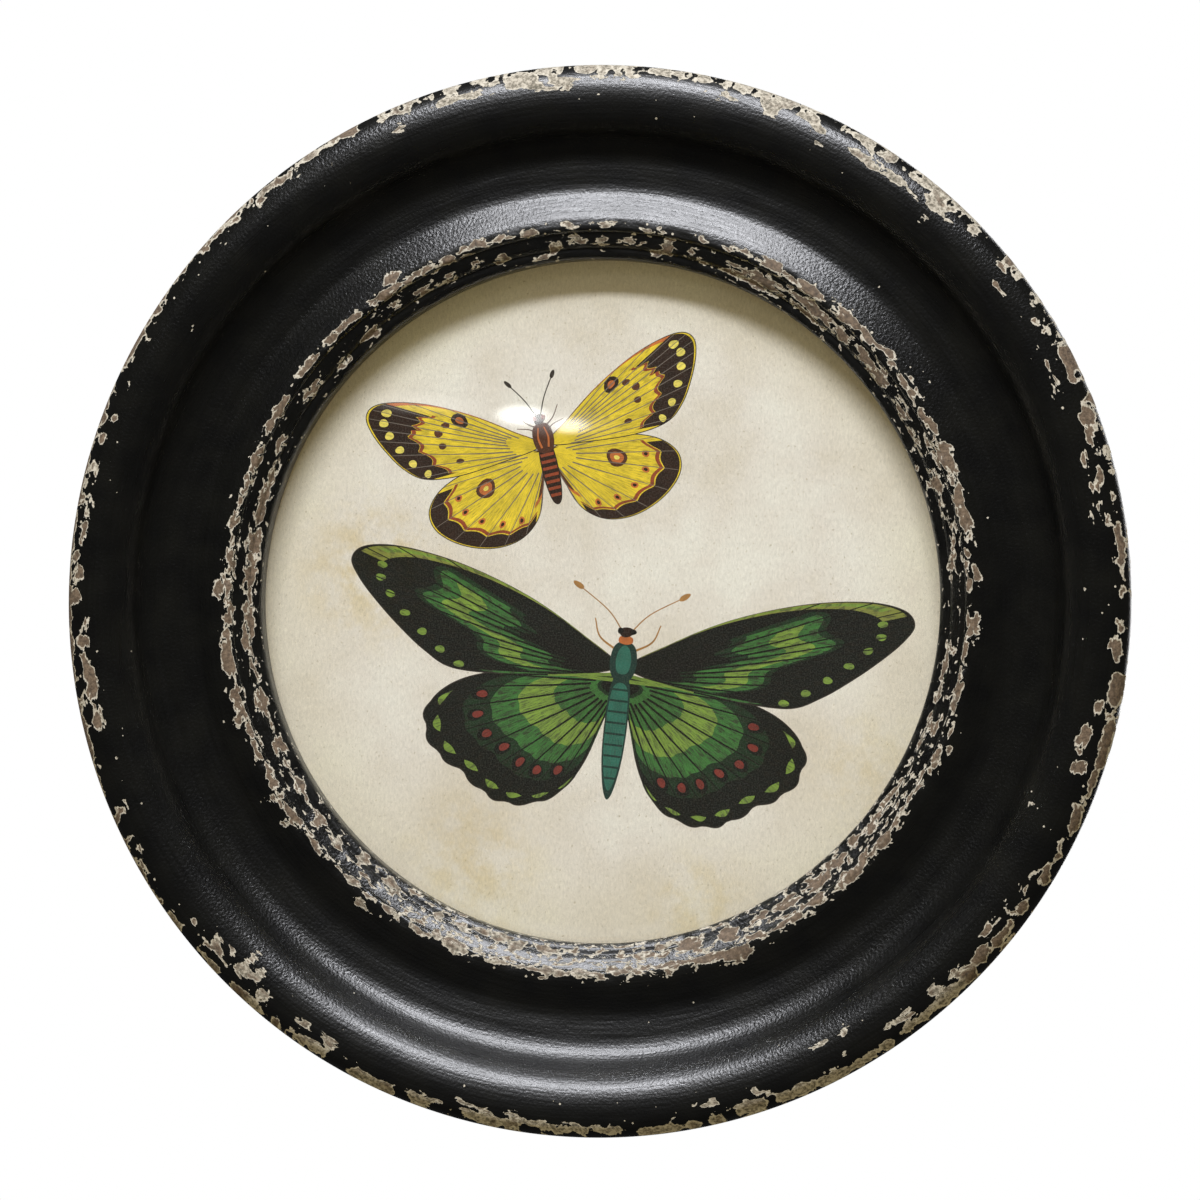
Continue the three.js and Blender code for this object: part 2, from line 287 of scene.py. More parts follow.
def printed_card(add):
    """Uncoated card, aged ivory, printed in a fine line and coloured by hand.

    To the eye: matte, a warm ivory that browns towards the rim, soft ochre stains, small grey
    fibres, and inks that break up a little over the tooth of the paper.
    """
    spot, flat, radius = round_the_middle(add)

    cloud = add("TexNoise", {"Vector": spot, "Scale": 1 / 24, "Detail": 5, "Roughness": 0.55})
    ivory = add("ValToRGB", {"Fac": cloud}, stops=[
        (0.34, "#ddd5cd"), (0.5, "#e6e0dd"), (0.66, "#edeae8")])
    browning = add("MapRange", [radius, 56, 86], interpolation_type="SMOOTHSTEP")
    edge_noise = add("MapRange", [cloud, 0.3, 0.7, 0.2, 0.6])
    rim = add("Math", [browning, edge_noise], operation="MULTIPLY")
    toned = add("Mix", {0: rim, 6: ivory, 7: "#ddd1ae"}, data_type="RGBA")

    # Ochre stains, a few centimetres across, on the left, at the foot and low on the right
    paper = toned
    for x, z, reach, depth in STAINS:
        away = add("VectorMath", [flat, (x, 0, z)], operation="DISTANCE")
        near = add("MapRange", [away.outputs["Value"], 0, reach, depth, 0],
                   interpolation_type="SMOOTHSTEP")
        blot = add("TexNoise", {"Vector": spot, "Scale": 1 / 6, "Detail": 6, "Roughness": 0.62})
        broken = add("MapRange", [blot, 0.4, 0.62])
        soaked = add("Math", [near, broken], operation="MULTIPLY")
        paper = add("Mix", {0: soaked, 6: paper, 7: "#cdb67e"}, data_type="RGBA")

    # Grey-brown flecks of the pulp, 0.2 to 0.5 mm, and light and dark fibres all over
    fleck = add("TexNoise", {"Vector": spot, "Scale": 1 / 0.7, "Detail": 2})
    fleck_mask = add("MapRange", [fleck, 0.64, 0.74, 0, 0.65])
    tooth = add("TexNoise", {"Vector": spot, "Scale": 1 / 0.35, "Detail": 4, "Roughness": 0.7})
    specked = add("Mix", {0: fleck_mask, 6: paper, 7: "#a99b80"}, data_type="RGBA")
    fibre_at = add("VectorMath", [spot, (1.6, 1, 0.7)], operation="MULTIPLY")
    fibres = add("TexNoise", {"Vector": fibre_at, "Scale": 1 / 0.8, "Detail": 5, "Roughness": 0.75,
                              "Distortion": 0.6})
    fibre_shade = add("MapRange", [fibres, 0.3, 0.7, 0.82, 1.1])
    pulp = add("VectorMath", {0: specked, "Scale": fibre_shade}, operation="SCALE")

    # The inks: their colour and cover are in the mesh, and both the washed strokes and the
    # engraved lines run out from the root of the wing
    ink = add("Attribute", attribute_name="ink")
    grain = add("Attribute", attribute_name="grain")
    wing = add("UVMap", uv_map="wing")
    root = add("SeparateXYZ", {"Vector": wing})
    turn = add("Math", [root.outputs["Y"], root.outputs["X"]], operation="ARCTAN2")
    reach = add("VectorMath", [wing], operation="LENGTH").outputs["Value"]
    fan = add("CombineXYZ", {"X": turn, "Y": reach})
    strokes_at = add("VectorMath", [fan, (55, 0.16, 1)], operation="MULTIPLY")
    strokes = add("TexNoise", {"Vector": strokes_at, "Scale": 1, "Detail": 4, "Roughness": 0.65})
    stroke_shade = add("MapRange", [strokes, 0.35, 0.65, -0.5, 0.5])
    stroke_depth = add("Math", [stroke_shade, grain.outputs["Fac"]], operation="MULTIPLY")
    wash = add("TexNoise", {"Vector": spot, "Scale": 1 / 3.5, "Detail": 4})
    wash_shade = add("MapRange", [wash, 0.3, 0.7, 0.82, 1.18])
    strength = add("Math", [stroke_depth, wash_shade], operation="ADD")
    inked = add("VectorMath", {0: ink.outputs["Color"], "Scale": strength}, operation="SCALE")
    hatch_at = add("VectorMath", [fan, (75, 0.4, 1)], operation="MULTIPLY")
    hatch = add("TexNoise", {"Vector": hatch_at, "Scale": 1, "Detail": 2})
    cut = add("MapRange", [hatch, 0.53, 0.6])
    engraved = add("Math", [cut, grain.outputs["Fac"]], operation="MULTIPLY")
    drawn = add("Mix", {0: engraved, 6: inked, 7: "#1d160c"}, data_type="RGBA")
    cover_noise = add("MapRange", [tooth, 0.3, 0.55, 0.94, 1])
    cover = add("Math", [ink.outputs["Alpha"], cover_noise], operation="MULTIPLY")
    colour = add("Mix", {0: cover, 6: pulp, 7: drawn}, data_type="RGBA")

    bump = add("Bump", {"Strength": 0.25, "Distance": 0.05 * MM, "Height": tooth})
    return add("BsdfPrincipled", {"Base Color": colour, "Roughness": 0.9, "IOR": 1.45,
                                  "Specular IOR Level": 0.12, "Normal": bump})


WIPED_FROM, WIPED_RAGGED = 120.5, 9  # mm from the middle, and how far its edge wanders in


def bare_wood(add):
    """Plain poplar, faced off on the lathe, never sealed, dirty, with black paint over its rim.

    To the eye: dull pale brown with fine lines of grain, darker where hands and damp were.
    """
    spot, _, radius = round_the_middle(add)
    drawn = add("VectorMath", [spot, (0.12, 1, 1)], operation="MULTIPLY")
    grain = add("TexNoise", {"Vector": drawn, "Scale": 1 / 1.4, "Detail": 7, "Roughness": 0.62,
                             "Distortion": 0.5})
    wood = add("ValToRGB", {"Fac": grain}, stops=[
        (0.30, "#6d5233"), (0.5, "#9c7d53"), (0.7, "#b3976c")])
    grime = add("TexNoise", {"Vector": spot, "Scale": 1 / 20, "Detail": 5})
    grimy = add("MapRange", [grime, 0.42, 0.7, 0, 0.7])
    soiled = add("Mix", {0: grimy, 6: wood, 7: "#54422c"}, data_type="RGBA")
    ragged = add("TexNoise", {"Vector": spot, "Scale": 1 / 4, "Detail": 6, "Roughness": 0.65})
    spread = add("Math", [ragged, WIPED_RAGGED, radius], operation="MULTIPLY_ADD")
    wiped = add("MapRange", [spread, WIPED_FROM, WIPED_FROM + 1])
    colour = add("Mix", {0: wiped, 6: soiled, 7: "#151412"}, data_type="RGBA")
    rough = add("Mix", {0: wiped, 2: 0.82, 3: 0.5})
    bump = add("Bump", {"Strength": 0.5, "Distance": 0.12 * MM, "Height": grain})
    return add("BsdfPrincipled", {"Base Color": colour, "Roughness": rough, "IOR": 1.5,
                                  "Normal": bump})


DIMPLE = 1.6  # mm, the pitch of the wire screen


def pressed_hardboard(add):
    """Hardboard, pressed against a wire screen, which leaves its mesh on the back.

    To the eye: dull mid brown, fibrous, with a fine, regular dimple.
    """
    spot = picture_millimetres(add)
    xyz = add("SeparateXYZ", {"Vector": spot})
    waves = []
    for axis in ("X", "Z"):
        phase = add("Math", [xyz.outputs[axis], tau / DIMPLE], operation="MULTIPLY")
        waves.append(add("Math", [phase], operation="SINE"))
    mesh_print = add("Math", [waves[0], waves[1]], operation="MULTIPLY")
    fibres = add("TexNoise", {"Vector": spot, "Scale": 1 / 2.2, "Detail": 8, "Roughness": 0.7,
                              "Distortion": 1.4})
    tone = add("ValToRGB", {"Fac": fibres}, stops=[
        (0.3, "#4c3422"), (0.5, "#6e5036"), (0.7, "#866646")])
    hollow = add("MapRange", [mesh_print, -1, 1, 0, 0.35])
    colour = add("Mix", {0: hollow, 6: tone, 7: "#3b2818"}, data_type="RGBA")
    raised = add("Math", [fibres, 0.8, mesh_print], operation="MULTIPLY_ADD")
    bump = add("Bump", {"Strength": 0.6, "Distance": 0.12 * MM, "Height": raised})
    return add("BsdfPrincipled", {"Base Color": colour, "Roughness": 0.8, "IOR": 1.5,
                                  "Normal": bump})


def plated_steel(add, light, dark, roughness):
    """Steel strip, rolled, stamped and electroplated.

    To the eye: metal with fine straight rolling lines, and dull tarnish in patches.
    """
    spot = picture_millimetres(add)
    rolled_at = add("VectorMath", [spot, (0.4, 1, 9)], operation="MULTIPLY")
    rolled = add("TexNoise", {"Vector": rolled_at, "Scale": 1, "Detail": 4})
    tarnish = add("TexNoise", {"Vector": spot, "Scale": 1 / 1.8, "Detail": 5, "Roughness": 0.65})
    dull = add("MapRange", [tarnish, 0.42, 0.68])
    colour = add("Mix", {0: dull, 6: light, 7: dark}, data_type="RGBA")
    rough = add("MapRange", [tarnish, 0.3, 0.7, roughness, roughness + 0.25])
    bump = add("Bump", {"Strength": 0.3, "Distance": 0.02 * MM, "Height": rolled})
    return add("BsdfPrincipled", {"Base Color": colour, "Metallic": 1, "Roughness": rough,
                                  "Normal": bump})


def studio_floor(add):
    """Matte pale studio paint on a flat floor: even, with the faintest mottling."""
    place_on = add("TexCoord").outputs["Object"]
    cloud = add("TexNoise", {"Vector": place_on, "Scale": 3, "Detail": 3})
    colour = add("ValToRGB", {"Fac": cloud}, stops=[(0.3, "#dedcd8"), (0.7, "#e4e2de")])
    return add("BsdfPrincipled", {"Base Color": colour, "Roughness": 0.9})


PAINT = new_material("satin_black_paint_rubbed_through", rubbed_paint)
GLASS = new_material("blown_clear_glass", clear_glass)
CARD = new_material("aged_uncoated_card_printed", printed_card)
WOOD = new_material("bare_poplar_faced_off", bare_wood)
HARDBOARD = new_material("hardboard_screen_backed", pressed_hardboard)
ZINC = new_material("zinc_plated_steel_stamped", plated_steel, "#b9bcbd", "#8d9294", 0.3)
BRASS = new_material("brass_plated_steel_stamped", plated_steel, "#c9ab62", "#8a713c", 0.25)


# Mesh helpers

def piece(name, bm, materials, smooth_angle=40):
    """Make an object of a bmesh, smooth but for its sharp edges."""
    mesh = bpy.data.meshes.new(name)
    sharpest = radians(smooth_angle)
    for edge in bm.edges:
        edge.smooth = len(edge.link_faces) == 2 and edge.calc_face_angle(pi) < sharpest
    for face in bm.faces:
        face.smooth = True
    bm.to_mesh(mesh)
    bm.free()
    for finish in materials:
        mesh.materials.append(finish)
    made = bpy.data.objects.new(name, mesh)
    bpy.context.collection.objects.link(made)
    return made


def carried(made, node):
    """The piece hangs with the picture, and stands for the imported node."""
    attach(made, "root")
    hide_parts(node)


SAME_POINT = 1e-4  # mm


def arc(r, h, size, start, end, steps):
    """Points of an arc in radius and height, angles from the outward direction."""
    turns = [start + (end - start) * i / steps for i in range(steps + 1)]
    return [(r + size * cos(a), h + size * sin(a)) for a in turns]


def bend(start, corner, end, steps):
    """Points of a curve that leaves start and reaches end along the lines to the corner."""
    points = []
    for i in range(steps + 1):
        t = i / steps
        weights = ((1 - t) ** 2, 2 * t * (1 - t), t * t)
        points.append(tuple(sum(w * p[k] for w, p in zip(weights, (start, corner, end)))
                            for k in (0, 1)))
    return points


def line(start, end, steps):
    """Points of a straight line."""
    return [tuple(a + (b - a) * i / steps for a, b in zip(start, end)) for i in range(steps + 1)]


def chain(*runs):
    """Runs of points joined end to end, without doubles."""
    joined = []
    for run in runs:
        for point in run:
            if not joined or dist(point, joined[-1]) > SAME_POINT:
                joined.append(point)
    return joined


def turned(section, steps, closed=True):
    """A section in radius and height, spun round the picture's axis."""
    bm = bmesh.new()
    verts = [bm.verts.new(place(r, 0, h)) for r, h in section]
    pairs = list(zip(verts, verts[1:]))
    if closed:
        pairs.append((verts[-1], verts[0]))
    edges = [bm.edges.new(pair) for pair in pairs]
    bmesh.ops.spin(bm, geom=verts + edges, cent=CENTRE, axis=(0, 1, 0), angle=tau, steps=steps,
                   use_merge=True, use_duplicate=False)
    bmesh.ops.remove_doubles(bm, verts=bm.verts, dist=1e-7)
    bmesh.ops.recalc_face_normals(bm, faces=bm.faces)
    return bm


def slab(outline, low, high):
    """A flat outline in x and z, millimetres from the middle, between two heights."""
    bm = bmesh.new()
    verts = [bm.verts.new((MIDDLE + Vector((x, -low, z))) * MM) for x, z in outline]
    face = bm.faces.new(verts)
    raised = bmesh.ops.extrude_face_region(bm, geom=[face])["geom"]
    tops = [g for g in raised if isinstance(g, bmesh.types.BMVert)]
    bmesh.ops.translate(bm, verts=tops, vec=(0, -(high - low) * MM, 0))
    bmesh.ops.recalc_face_normals(bm, faces=bm.faces)
    return bm


# Frame

# The ledge is what the glass lies against, from behind
FRAME_R, FRAME_DEPTH, OPENING_R, RABBET_R, LEDGE = 125, 36, 80, 83.6, 19.4
SIDE = {"back_r": 120.5, "ease": 1.2, "blunt": 0.2, "top_r": 124, "top": 23.5, "swell": 4}
BEAD = {"r": 117.7, "round": 9.8, "shoulder": radians(24)}
SCOOP = {"r": 101.2, "round": 9}
FLOOR = {"r": 97.6, "dip": 0.4}
LIP = {"foot_r": 94.9, "foot": 1, "rise": 0.5, "top_r": 89.6, "slope": 0.46}
# From the crest of the lip in to the opening: the corner and the end of each curve
LIP_CURVES = [((88.3, 29.1), (87.4, 29.1)), ((86.6, 29.1), (86.2, 28.1)),
              ((84.7, 27.6), (82.9, 26.3)), ((82.7, 25.7), (82.4, 25.7)),
              ((81.3, 25.7), (80.6, 25.0)), ((80, 24.4), (80, 23.2))]
FRAME_TURN = 640  # faces round the ring
RIDGES = [87.4, 84.2, 81.2]  # of the lip, where it gets knocked


def moulding():
    """The section of the frame: rabbet, back, side, bead, scoop, lip and opening."""
    rounds = BEAD["round"] + SCOOP["round"]
    steepest = asin((BEAD["r"] - SCOOP["r"]) / rounds)
    bead_h = FRAME_DEPTH - BEAD["round"]
    scoop_h = bead_h + rounds * cos(steepest)
    floor = scoop_h - SCOOP["round"] - FLOOR["dip"]
    lip_foot = floor + LIP["rise"]
    lean = sin(BEAD["shoulder"])
    shoulder = (FRAME_R - BEAD["r"] - BEAD["round"] * lean) / (1 - lean)
    shoulder_h = bead_h + (BEAD["round"] - shoulder) * cos(BEAD["shoulder"])
    runs = [
        line((RABBET_R, LEDGE), (RABBET_R, 0), 6),
        line((RABBET_R, 0), (SIDE["back_r"] - SIDE["ease"], 0), 8),
        bend((SIDE["back_r"] - SIDE["ease"], 0), (SIDE["back_r"] - SIDE["blunt"], SIDE["blunt"]),
             (SIDE["back_r"], SIDE["ease"]), 3),
        line((SIDE["back_r"], SIDE["ease"]), (SIDE["top_r"], SIDE["top"]), 16),
        bend((SIDE["top_r"], SIDE["top"]), (FRAME_R, SIDE["top"] + SIDE["swell"]),
             (FRAME_R, shoulder_h), 5),
        arc(FRAME_R - shoulder, shoulder_h, shoulder, 0, pi / 2 - BEAD["shoulder"], 8),
        arc(BEAD["r"], bead_h, BEAD["round"], pi / 2 - BEAD["shoulder"], pi / 2 + steepest, 16),
        arc(SCOOP["r"], scoop_h, SCOOP["round"], steepest - pi / 2, -pi / 2, 14),
        line((SCOOP["r"], scoop_h - SCOOP["round"]), (FLOOR["r"], floor), 3),
        bend((FLOOR["r"], floor), (LIP["foot_r"] + LIP["foot"], floor),
             (LIP["foot_r"], lip_foot), 4),
    ]
    last = (LIP["top_r"], lip_foot + (LIP["foot_r"] - LIP["top_r"]) * LIP["slope"])
    runs.append(line((LIP["foot_r"], lip_foot), last, 5))
    for corner, end in LIP_CURVES:
        runs.append(bend(last, corner, end, 4))
        last = end
    runs += [line(last, (OPENING_R, LEDGE), 3), line((OPENING_R, LEDGE), (RABBET_R, LEDGE), 3)]
    section = chain(*runs)
    return section[:-1]  # its last point is its first


# Chips in the paint: degrees clockwise from the top, distance out from the middle, and how far
# the chip reaches along the ring and across it, each way, in millimetres
EDGE_CHIPS = [
    (7.5, 123.9, 6.5, 1.2), (2.5, 122.2, 4.7, 0.5), (13, 123.7, 5.4, 0.7), (15, 120.9, 2.5, 0.7),
    (20, 121.9, 2.3, 2.1), (23, 124.5, 4.3, 0.7), (24.5, 122.9, 3, 1.2), (26, 121, 1.5, 0.9),
    (26.7, 118.2, 0.8, 0.7), (31, 123.9, 7.6, 0.9), (33.5, 120.4, 5.5, 0.9), (36, 120.2, 4.2, 1.1),
    (36, 123.3, 5.4, 0.7), (39, 124, 1.1, 1.2), (41.5, 121.2, 4.2, 1.4), (44, 124.8, 3.3, 0.7),
    (41.4, 117, 0.6, 0.7), (46.3, 123.2, 1.7, 0.9), (51, 124.4, 1.7, 0.7), (51.2, 122.1, 1.7, 0.5),
    (58, 121.5, 0.7, 1.2), (60, 122.5, 0.9, 0.6), (53.7, 119.1, 0.7, 0.7), (52.3, 118.8, 0.8, 0.5),
    (60.8, 119.2, 1, 0.6), (62.9, 119.2, 0.9, 0.7), (65.2, 119, 1.2, 0.4), (63.3, 123.7, 2.8, 1.6),
    (65.2, 122.5, 1.7, 0.7), (68.4, 124.9, 1.7, 0.6), (70, 122.6, 2.6, 1.6), (72, 121.9, 3, 0.9),
    (74, 119.1, 1.9, 0.8), (76, 121.5, 3.4, 0.5), (77.7, 119.4, 1.5, 1.1), (79.6, 119.4, 0.7, 0.9),
    (79.2, 123.1, 1.7, 0.5), (81.2, 121, 1.3, 0.5), (81.4, 118.5, 1.2, 0.5),
    (84.6, 120.3, 0.5, 0.7), (85, 123.2, 8.2, 0.8), (88.6, 114.2, 0.5, 0.5), (93, 122.7, 1.7, 0.9),
    (95.3, 122.2, 3, 1.4), (99.8, 123.4, 4.7, 1.9), (105, 123.8, 7.6, 1.2),
    (101.8, 120.1, 2.5, 0.7), (105.5, 118.6, 3.3, 1.6), (109, 119.6, 1.5, 1.9),
    (110, 123.5, 5.4, 0.7), (114.5, 123.2, 6.5, 1.2), (119.8, 123.2, 6, 1.2),
    (122.9, 120.3, 1.7, 0.5), (126, 122.8, 5.4, 0.9), (126.3, 119.6, 1, 1.4),
    (129.2, 119.3, 2.9, 1.1), (132.5, 122.5, 8.1, 1.2), (114.8, 112.9, 0.5, 0.7),
    (137, 123.4, 6.5, 1.2), (142, 123.3, 6.5, 1.1), (147, 123.7, 6.5, 0.9), (152, 123.8, 6.5, 1.1),
    (157, 123.3, 5.6, 1.2), (162, 123, 5.6, 1.2), (171, 123.9, 8.6, 0.8), (178.5, 123.2, 3.4, 1.2),
    (136, 120.8, 2.5, 0.7), (138.3, 120.8, 1.5, 1.6), (143.5, 120.2, 2.5, 0.7),
    (152.6, 115.7, 1.6, 0.5), (149.7, 115.7, 1.2, 0.5), (167, 119.7, 2.1, 0.5),
    (161.5, 119.5, 0.8, 0.5), (160.1, 121.4, 0.8, 0.5), (182.5, 122.9, 6.4, 1.2),
    (186.5, 122.2, 3.4, 0.9), (192, 123.2, 6.5, 1.3), (199.5, 122.6, 5.6, 1.2),
    (205, 123.6, 6.5, 1.4), (212.5, 123, 5.6, 1.1), (221, 123.8, 6.9, 1.1), (189, 121.1, 1.5, 0.7),
    (194, 120.7, 2.1, 0.5), (211, 119.9, 2.1, 0.7), (214, 119.5, 2.1, 0.5),
    (220.2, 120.8, 1.5, 1.9), (222, 117.5, 1.4, 1.6), (223.5, 118.9, 2.3, 1.9),
    (223.9, 115, 0.8, 1.2), (227.5, 123.7, 5.4, 0.9), (233, 124.2, 4.3, 0.9),
    (238, 124.6, 4.3, 0.7), (244.5, 124.9, 8.7, 0.6), (250, 124.7, 6.5, 0.7),
    (256, 124.5, 8.7, 1.1), (264, 124.6, 8.7, 0.9), (268.5, 124.6, 6.5, 1.2),
    (228, 120.4, 3.2, 0.8), (226, 117.8, 1, 0.9), (228, 118.5, 1.2, 0.9), (231.3, 120, 0.8, 0.6),
    (241.6, 121.6, 0.8, 0.6), (246.5, 120.7, 1.5, 0.8), (248.8, 120.2, 0.8, 0.5),
    (256.4, 119.8, 2.3, 1.4), (261.3, 120.1, 5.5, 1.3), (265.4, 120.8, 2.5, 1.4),
    (267.7, 120.1, 1.3, 0.7), (276, 124.8, 12, 0.9), (285, 124.8, 10.9, 0.8),
    (292, 124.9, 6.5, 0.7), (300, 124.3, 9.8, 0.8), (308, 124.5, 10.9, 0.7), (314, 123.9, 4.3, 0.7),
    (270.7, 122, 1.7, 1.2), (273.2, 121.8, 1.9, 1.1), (275, 123.2, 1.7, 1.2),
    (278.8, 121.5, 3.6, 0.7), (281.6, 121, 1.7, 0.6), (285, 122.2, 1.9, 1.2),
    (288, 122.4, 1.1, 0.9), (290.8, 121.2, 0.8, 0.7), (300.5, 121.8, 0.9, 0.6),
    (304.4, 114.7, 1, 0.7), (316.5, 124.6, 4.3, 0.6), (321, 123.5, 5, 1.3), (324, 123, 2.6, 1.2),
    (327.5, 123.9, 6.5, 1.2), (331, 124.6, 4.3, 0.7), (316.5, 122.7, 2.1, 0.6),
    (337, 123.5, 1.5, 0.7), (339, 122.4, 0.9, 0.9), (338, 118.4, 1.9, 0.9),
    (341.6, 123.7, 2.2, 1.2), (343.3, 121.6, 1.7, 0.9), (346, 121.4, 3.2, 0.7),
    (348.7, 123, 2.1, 0.7), (352.3, 122.5, 4.7, 2.1), (354, 120.4, 3.8, 1.2),
    (356.6, 121.1, 3.6, 1.6), (358.8, 123.9, 1.7, 1.4),
]
LIP_CHIPS = [
    (1.8, 87.7, 1.5, 0.7), (7.8, 87, 1.5, 0.5), (9.3, 87.5, 1.8, 0.6), (16.5, 87.3, 1.8, 0.4),
    (21.8, 88.3, 2.8, 0.8), (28, 88.1, 4.9, 1.3), (34.5, 87.9, 4.9, 1.2), (42, 88.2, 5.2, 1.3),
    (46.5, 88.1, 3.1, 1.2), (50.5, 89, 3.1, 0.9), (55, 87.9, 4.6, 0.8), (56, 89.6, 2, 0.6),
    (60.5, 87.5, 3.1, 0.5), (63, 88.5, 3.1, 0.9), (68, 88.3, 4.9, 1.8), (74.5, 88.1, 4.6, 1.3),
    (79, 88.4, 4.6, 1.4), (84, 87.2, 2.3, 0.5), (86.5, 89.3, 2.8, 0.9), (87.8, 87.7, 1.8, 0.8),
    (94, 88.4, 3.1, 1.6), (99, 87.3, 3.4, 0.8), (104.8, 87.2, 4.9, 0.9), (110, 88.1, 1.5, 0.5),
    (112.6, 89.2, 1.1, 0.6), (115, 87.8, 2.8, 0.7), (117.5, 86.1, 1.8, 0.5),
    (121.5, 86.8, 2.7, 0.6), (124.7, 86.8, 2.7, 0.8), (129.7, 87.2, 3.3, 1.4),
    (133.7, 86.2, 1.5, 0.9), (136.5, 87.6, 5.8, 1.2), (143, 86.8, 3.6, 0.9), (147.7, 87, 3.9, 1.1),
    (152.5, 87.6, 2.4, 0.4), (155, 86.4, 3, 0.6), (157.8, 88.7, 3.7, 2.1), (161.5, 87.5, 4.9, 1.2),
    (168, 86.6, 9.1, 0.8), (175, 86.3, 6, 0.6), (182.5, 87, 2.6, 0.9), (187, 87.1, 3, 1),
    (192, 87, 2.6, 0.7), (195, 87.3, 1.8, 0.9), (198.5, 86.5, 2.4, 0.6), (202.6, 87.3, 3.4, 1.4),
    (206, 86.9, 1.8, 0.9), (209.3, 87.4, 1.2, 0.8), (213.5, 87, 3, 0.9), (218, 90.1, 2, 0.9),
    (221.5, 87.3, 1.8, 1.1), (229.5, 87.4, 3.4, 0.8), (235, 87.7, 5.5, 1.1),
    (234.7, 89.6, 1.3, 1.4), (239, 89.6, 1.1, 0.9), (241.7, 87.3, 5.5, 0.9),
    (247.3, 87.6, 5.5, 0.9), (252, 89, 1.6, 0.9), (255.3, 87.9, 3.1, 1.4), (262.3, 88.1, 5.8, 1.4),
    (268, 87, 4.6, 0.8), (272, 89.6, 2.5, 1.3), (275.5, 87.2, 7, 1), (282, 87.9, 2.1, 1.2),
    (288, 87.3, 3.7, 0.8), (292.7, 87.3, 4, 1.2), (298, 87.5, 2.1, 0.7), (301.3, 87.4, 3.1, 1.1),
    (309, 87.9, 3.2, 1.1), (314.3, 87.6, 3.1, 0.9), (318.3, 87.7, 4, 0.9), (325, 87.5, 5.5, 0.9),
    (327.3, 89.8, 2, 1.5), (331.7, 87.6, 4.1, 0.9), (336.5, 87.3, 3.7, 0.9), (341, 87.7, 4, 0.9),
    (345, 87.6, 3.1, 0.8), (349.2, 87.4, 2.3, 0.7), (356, 87.7, 2, 0.6), (0.7, 84, 1.5, 0.8),
    (5.3, 84.2, 2.2, 0.8), (11.4, 84.5, 1.2, 1.3), (10.3, 82.8, 1.7, 0.7), (15.2, 84.5, 0.6, 0.6),
    (16.7, 83, 1.7, 0.6), (22.5, 84.3, 1.8, 0.7), (22.2, 82.7, 2.9, 0.6), (27.3, 84.1, 5.3, 1.3),
    (26.5, 82.5, 4.3, 0.7), (36.5, 84.7, 7.4, 1.1), (43, 84.3, 3.2, 1.2), (36, 82.8, 3.6, 0.5),
    (48.3, 84.3, 3.2, 1.4), (51.7, 84.1, 2.9, 1.4), (58.5, 84, 3.2, 0.9), (63.5, 83.6, 2.9, 0.7),
    (71, 83.9, 3.1, 1.3), (74, 83.2, 2.9, 0.5), (66, 85.9, 3, 0.5), (78.5, 84.8, 2.7, 0.6),
    (82.2, 84.3, 2.4, 0.7), (85, 83.2, 2.3, 0.6), (98.5, 84.1, 2.6, 0.5), (100, 82.8, 4, 0.7),
    (105.5, 82.7, 4, 0.6), (110.3, 84.3, 2.2, 0.6), (112.5, 82.4, 4.3, 0.7),
    (122.3, 82.6, 3.5, 0.7), (127.3, 82.5, 2.4, 0.8), (129.5, 83.2, 1.7, 1.2), (133, 82, 2.9, 0.7),
    (137, 82.6, 3.7, 1.1), (141.5, 83.5, 2.9, 1.6), (147.5, 83, 2.8, 1.3), (152.5, 82.5, 2.9, 0.9),
    (158.5, 83.6, 2.6, 1.9), (164.5, 82.9, 3.3, 1.6), (169.5, 82.4, 2.2, 0.9),
    (172.7, 83.1, 1.6, 1.2), (188, 82.6, 2.5, 0.9), (194, 82.6, 2.5, 1.2), (197.5, 81.7, 4.3, 0.9),
    (202.7, 82.9, 2.9, 0.9), (207, 82.5, 1.2, 1.2), (216.3, 82.3, 2.6, 1.2),
    (222.7, 82.2, 1.7, 1.4), (227.5, 83.4, 1.7, 1.2), (232, 83.4, 1.5, 1.9),
    (238.7, 82.8, 2.7, 1.1), (246, 82.6, 2.2, 1.3), (253.5, 83.2, 3, 1.4), (260, 83, 3.5, 0.8),
    (264, 83.7, 2.3, 1.2), (267.5, 82.7, 4.3, 1.1), (274.5, 82.6, 5.8, 1.2), (280, 82.7, 3.8, 1.3),
    (286, 82.8, 4.9, 1.1), (290.5, 82.9, 3.5, 0.8), (296.3, 84, 2.1, 0.9), (306.7, 83.8, 3.1, 1.1),
    (312.5, 82.2, 2.2, 0.6), (319.5, 82.6, 2.3, 0.9), (325.6, 84.4, 0.9, 0.8),
    (330.5, 83.9, 1.9, 0.6), (334.7, 83.4, 2, 0.9), (344.3, 83.1, 1.7, 1.2), (262, 87.5, 50, 0.5),
    (258, 82.9, 40, 0.45), (353.3, 83.5, 1.2, 1.2), (356.5, 84.7, 1.9, 1), (350.5, 81.4, 1.4, 0.3),
    (340, 84.3, 1.2, 0.4),
]

